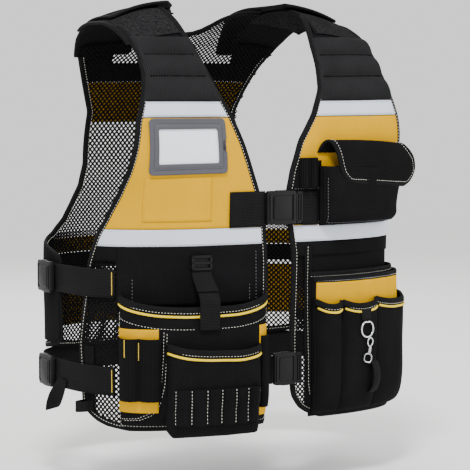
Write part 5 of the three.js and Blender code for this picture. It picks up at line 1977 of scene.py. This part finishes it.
@dataclass
class RingAndHook:
    """A ring on a tab, a swivel hook on the ring and the tape loop that hangs from it."""

    place: float = 122
    top: float = -207
    ring: float = 22
    wire: float = 2.6
    hook: float = 34

    def build(self) -> None:
        """Makes the tab, the ring, the hook and the loop."""
        lift = float(TRIPLE.face(np.array([self.place]), np.array([self.top]))[0]) + GAP
        tab = rectangle(self.place - 8.5, self.place + 8.5, self.top, -192)
        laid(
            "ring_tab", WEBBING, "black_webbing", tab, TRIPLE.over_face(GAP), 2.2,
            2.0, nodes=["ring_tab"],
        )
        centre = self.top - self.ring / 2 - self.wire / 2
        self.loop_of_wire(centre, lift + 1.5)
        self.swivel(centre - self.ring / 2, lift + 1.2)
        low = centre - self.ring / 2 - self.hook - 3
        cut = rectangle(self.place + 6, self.place + 19, low - 40, low + 4)

        def stand(s: Array, t: Array) -> Array:
            """The loop stands off the pocket between its ends."""
            return TRIPLE.face(s, t) + 1 + 8 * np.sin(math.pi * share(t, low - 40, low + 4)) ** 0.6

        loop = cloth("tape_loop", WEBBING, cut, stand, 1.8, 2.0)
        fitted(loop, "black_webbing", "tape_loop")

    def bent(
        self,
        points: Places,
        centre: float,
        lift: float,
        closed: bool,
        wire: float,
        turn: float = 0,
    ) -> bmesh.types.BMesh:
        """Bends a wire through points, seated on the pocket.

        Args:
            points: Places beside the wire's own middle.
            centre: Height of that middle on the pocket.
            lift: How far off the form the wire lies.
            closed: Whether the wire's ends meet.
            wire: Its thickness.
            turn: Turn in degrees on the pocket's face.

        Returns:
            The mesh.
        """
        curve = np.array([(x, y, wire / 2) for x, y in points], float)
        count = len(curve)
        fine = np.linspace(0, count if closed else count - 1, count * 8 + 1)
        i = np.floor(fine).astype(int)
        f = (fine - i)[:, None]

        def knot(k: Array) -> Array:
            """Points by number, running on past the ends."""
            return curve[k % count] if closed else curve[np.clip(k, 0, count - 1)]

        p0, p1, p2, p3 = knot(i - 1), knot(i), knot(i + 1), knot(i + 2)
        square = 2 * p0 - 5 * p1 + 4 * p2 - p3
        cube = 3 * p1 - 3 * p2 + p3 - p0
        line = 0.5 * (2 * p1 + (p2 - p0) * f + square * f**2 + cube * f**3)
        where = np.array(FORM.seat(self.place, centre, Side.FRONT, lift, turn))
        seated = line @ where[:3, :3].T + where[:3, 3]
        normals = np.tile(where[:3, 2], (len(line), 1))
        bm = bmesh.new()
        swept(bm, Track(seated, normals), rounded(wire, wire, 10, 2))
        return bm

    def loop_of_wire(self, centre: float, lift: float) -> None:
        """Makes the ring, a little flat at the top."""
        angle = np.arange(12) / 12 * 2 * math.pi
        radius = self.ring / 2
        points = [(radius * math.sin(a), radius * min(math.cos(a), 0.86)) for a in angle]
        bm = self.bent(points, centre, lift, True, self.wire)
        bmesh.ops.remove_doubles(bm, verts=bm.verts, dist=0.05)
        bmesh.ops.recalc_face_normals(bm, faces=bm.faces)
        fitted(written("d_ring", bm, STEEL), "steel", "d_ring")

    def swivel(self, top: float, lift: float) -> None:
        """Makes the swivel hook: an eye, a collar and a bail."""
        middle = top - self.hook / 2
        eye = [(0, 17), (4, 14), (4.5, 9), (1.5, 5), (0, 3)]
        left = [(0, 3), (-1.5, 5), (-4.5, 9), (-4, 14), (0, 17)]
        body = [(0, 4), (0, -4)]
        bail = [(0, -5), (6, -7), (7, -14), (4, -17), (-4, -17), (-7, -14), (-6, -7), (0, -5)]
        bm = bmesh.new()
        for part, wire in ((eye, 2.0), (left, 2.0), (body, 4.2), (bail, 2.2)):
            joined(bm, self.bent([(x + 4, y) for x, y in part], middle, lift, False, wire, -12))
        bmesh.ops.recalc_face_normals(bm, faces=bm.faces)
        fitted(written("snap_hook", bm, STEEL), "steel", "snap_hook")


# Side straps


@dataclass
class SideStraps:
    """Upper webbing and both buckles at one side."""

    hand: Hand
    width: float = 38
    upper: float = -128
    lower: float = -257
    sewn: dict = field(default_factory=lambda: {Hand.RIGHT: 228, Hand.LEFT: 266})
    buckle_at: float = 292
    buckle: float = 52
    thick: float = 9

    def build(self) -> None:
        """Makes the upper webbing, the buckles and the bar-tacks."""
        word, hand = self.hand.word, self.hand.value
        sewn = self.sewn[self.hand]
        end = FORM.half_girth(self.upper) - self.buckle_at + self.buckle / 2 + 10

        def lift(s: Array, t: Array) -> Array:
            """Lies on the front, and on the back's bands further round."""
            return LAYER.one + 0.9 + (LAYER.two - LAYER.one) * share(np.abs(s), sewn + 8, sewn + 28)

        cut = rectangle(*self.hand.mirrored(sewn, end), self.upper - self.width, self.upper)
        laid(
            "side_webbing_" + word, WEBBING, "black_webbing", cut, lift, 1.8,
            nodes=["side_webbing_" + word],
        )
        for height, top in (("upper", self.upper), ("lower", self.lower)):
            name = f"side_{height}_buckle_{word}"
            at = (hand * self.buckle_at, top - self.width / 2, Side.BACK, LAYER.three + 0.5)
            Buckle(name, *at, self.buckle, self.width + 4, self.thick).build([name])
        if self.hand is Hand.RIGHT:
            self.tail()
        tacks = []
        for top in (self.upper, self.lower):
            s = hand * (sewn + 4)
            tacks.append(Track.over([(s, top - 4), (s, top - self.width + 4)], LAYER.one + 2.6, pitch=3))
        TACK.sewn("side_tacks_" + word, GOLD_THREAD, tacks, slot="black_webbing")

    def tail(self) -> None:
        """Makes the loose end that hangs and curls away behind the lower buckle."""
        s = np.linspace(0, 1, 24)
        high = self.lower - self.width + 12 - 42 * s
        place = -self.buckle_at - 52 + 26 * s**1.6
        lift = LAYER.three + 3 + 5 * np.sin(2.6 * s)
        points = FORM.lifted(place, high, Side.BACK, lift)
        normals = FORM.normal(place, high, Side.BACK) + np.array([0.9, -1.1, 0]) * s[:, None]
        line = Track(points, normals)
        bm = bmesh.new()
        swept(bm, line, rounded(20, 2.2, 12, 5))
        bmesh.ops.recalc_face_normals(bm, faces=bm.faces)
        bm.verts.index_update()
        place = np.array([vert.co[:] for vert in bm.verts])
        unwrapped(bm, place[:, 1], place[:, 2])
        fitted(written("side_strap_tail", bm, WEBBING), "black_webbing")


@dataclass
class BackBelt:
    """One belt round the back, sewn to both fronts."""

    width: float = 38
    top: float = -257
    right: float = 228
    left: float = 266

    def build(self) -> None:
        """Makes the belt."""
        half = FORM.half_girth(self.top)

        def lift(s: Array, t: Array) -> Array:
            """Lies on the fronts where it is sewn, and on the back's bands further round."""
            sewn = np.where(s < 0, self.right, self.left)
            return LAYER.one + 0.9 + (LAYER.two - LAYER.one) * share(half - np.abs(s) - sewn, 8, 28)

        start, end = self.right - half, half - self.left
        cut = rectangle(start, end, self.top - self.width, self.top, side=Side.BACK)
        laid(
            "back_belt", WEBBING, "black_webbing", cut, lift, 1.8,
            nodes=["back_belt"],
        )


@dataclass
class HammerLoop:
    """A loop of webbing for a tool's handle, on its backing."""

    hand: Hand
    width: float = 19
    stand: float = 22
    band: float = 14

    def build(self) -> None:
        """Makes the backing and the loop."""
        word = self.hand.word
        place, top, length, loop_top = {
            Hand.RIGHT: (260.0, -232, 88, -304),
            Hand.LEFT: (267.0, -224, 31, -238),
        }[self.hand]
        ends = self.hand.mirrored(place, place + self.width)
        backing = rectangle(*ends, top - length, top)
        laid(
            "hammer_backing_" + word, CLOTH, "woven_cloth", backing, LAYER.one, 1.6, 3,
            nodes=["hammer_backing_" + word],
        )
        inner = self.hand.mirrored(place + 1, place + self.width - 1)
        cut = rectangle(*inner, loop_top - self.band, loop_top)

        def lift(s: Array, t: Array) -> Array:
            """The loop bows out between its sewn ends."""
            return LAYER.two + self.stand * np.sin(math.pi * share(s, *inner)) ** 0.5

        loop = cloth("hammer_loop_" + word, WEBBING, cut, lift, 1.8, 1.2)
        fitted(loop, "black_webbing", "hammer_loop_" + word)


# Studio


@dataclass
class Studio:
    """A plain pale floor, soft light and the camera."""

    floor: float = -0.64
    target: tuple[float, float, float] = (0.0174, -0.0105, -0.311)
    azimuth: float = -31.0
    elevation: float = 4.2
    distance: float = 3.0
    lens: float = 164.1
    daylight: float = 1.15  # strength of the even light from all round

    def build(self) -> None:
        """Sets the floor, the light and the camera."""
        bm = bmesh.new()
        low = Matrix.Translation((0, 0, self.floor / MM))
        bmesh.ops.create_grid(bm, x_segments=4, y_segments=4, size=4000, matrix=low)
        written("studio_floor", bm, PAPER)
        world = bpy.data.worlds.new("studio")
        bpy.context.scene.world = world
        world.use_nodes = True
        colour, strength = world.node_tree.nodes["Background"].inputs[:2]
        colour.default_value, strength.default_value = (1, 1, 1, 1), self.daylight
        middle = Vector((0, 0, -0.3))
        for name, place, size, power in (
            ("key", (-1.2, -1.7, 2.3), 0.7, 105),
            ("fill", (2.2, -1.8, 0.5), 1.5, 22),
            ("back", (0.5, 2.4, 1.2), 1.4, 30),
        ):
            data = bpy.data.lights.new(name, "AREA")
            data.shape, data.size, data.energy = "DISK", size, power
            light = bpy.data.objects.new(name, data)
            bpy.context.scene.collection.objects.link(light)
            light.location = place
            light.rotation_euler = (middle - Vector(place)).to_track_quat("-Z", "Y").to_euler()
        self.camera()

    def camera(self) -> None:
        """Places the camera round the target."""
        a, e = math.radians(self.azimuth), math.radians(self.elevation)
        back = Vector((math.sin(a) * math.cos(e), -math.cos(a) * math.cos(e), math.sin(e)))
        data = bpy.data.cameras.new("camera")
        data.lens, data.sensor_width, data.clip_end = self.lens, 36.0, 50.0
        camera = bpy.data.objects.new("camera", data)
        bpy.context.scene.collection.objects.link(camera)
        camera.location = Vector(self.target) + back * self.distance
        camera.rotation_euler = (-back).to_track_quat("-Z", "Y").to_euler()
        bpy.context.scene.camera = camera


def main() -> None:
    """Builds the vest piece by piece, then the studio."""
    Studio().build()
    Back().build()
    for hand in Hand:
        Front(hand).build()
        ShoulderStraps(hand).build()
    CardWindow().build()
    ChestFastening().build()
    WaistFastening().build()
    ToolPouches().build()
    ToolSleeves().build()
    PhonePouch().build()
    LeftPockets().build()
    RingAndHook().build()
    for hand in Hand:
        SideStraps(hand).build()
        HammerLoop(hand).build()
    BackBelt().build()


if __name__ == "__main__":
    main()
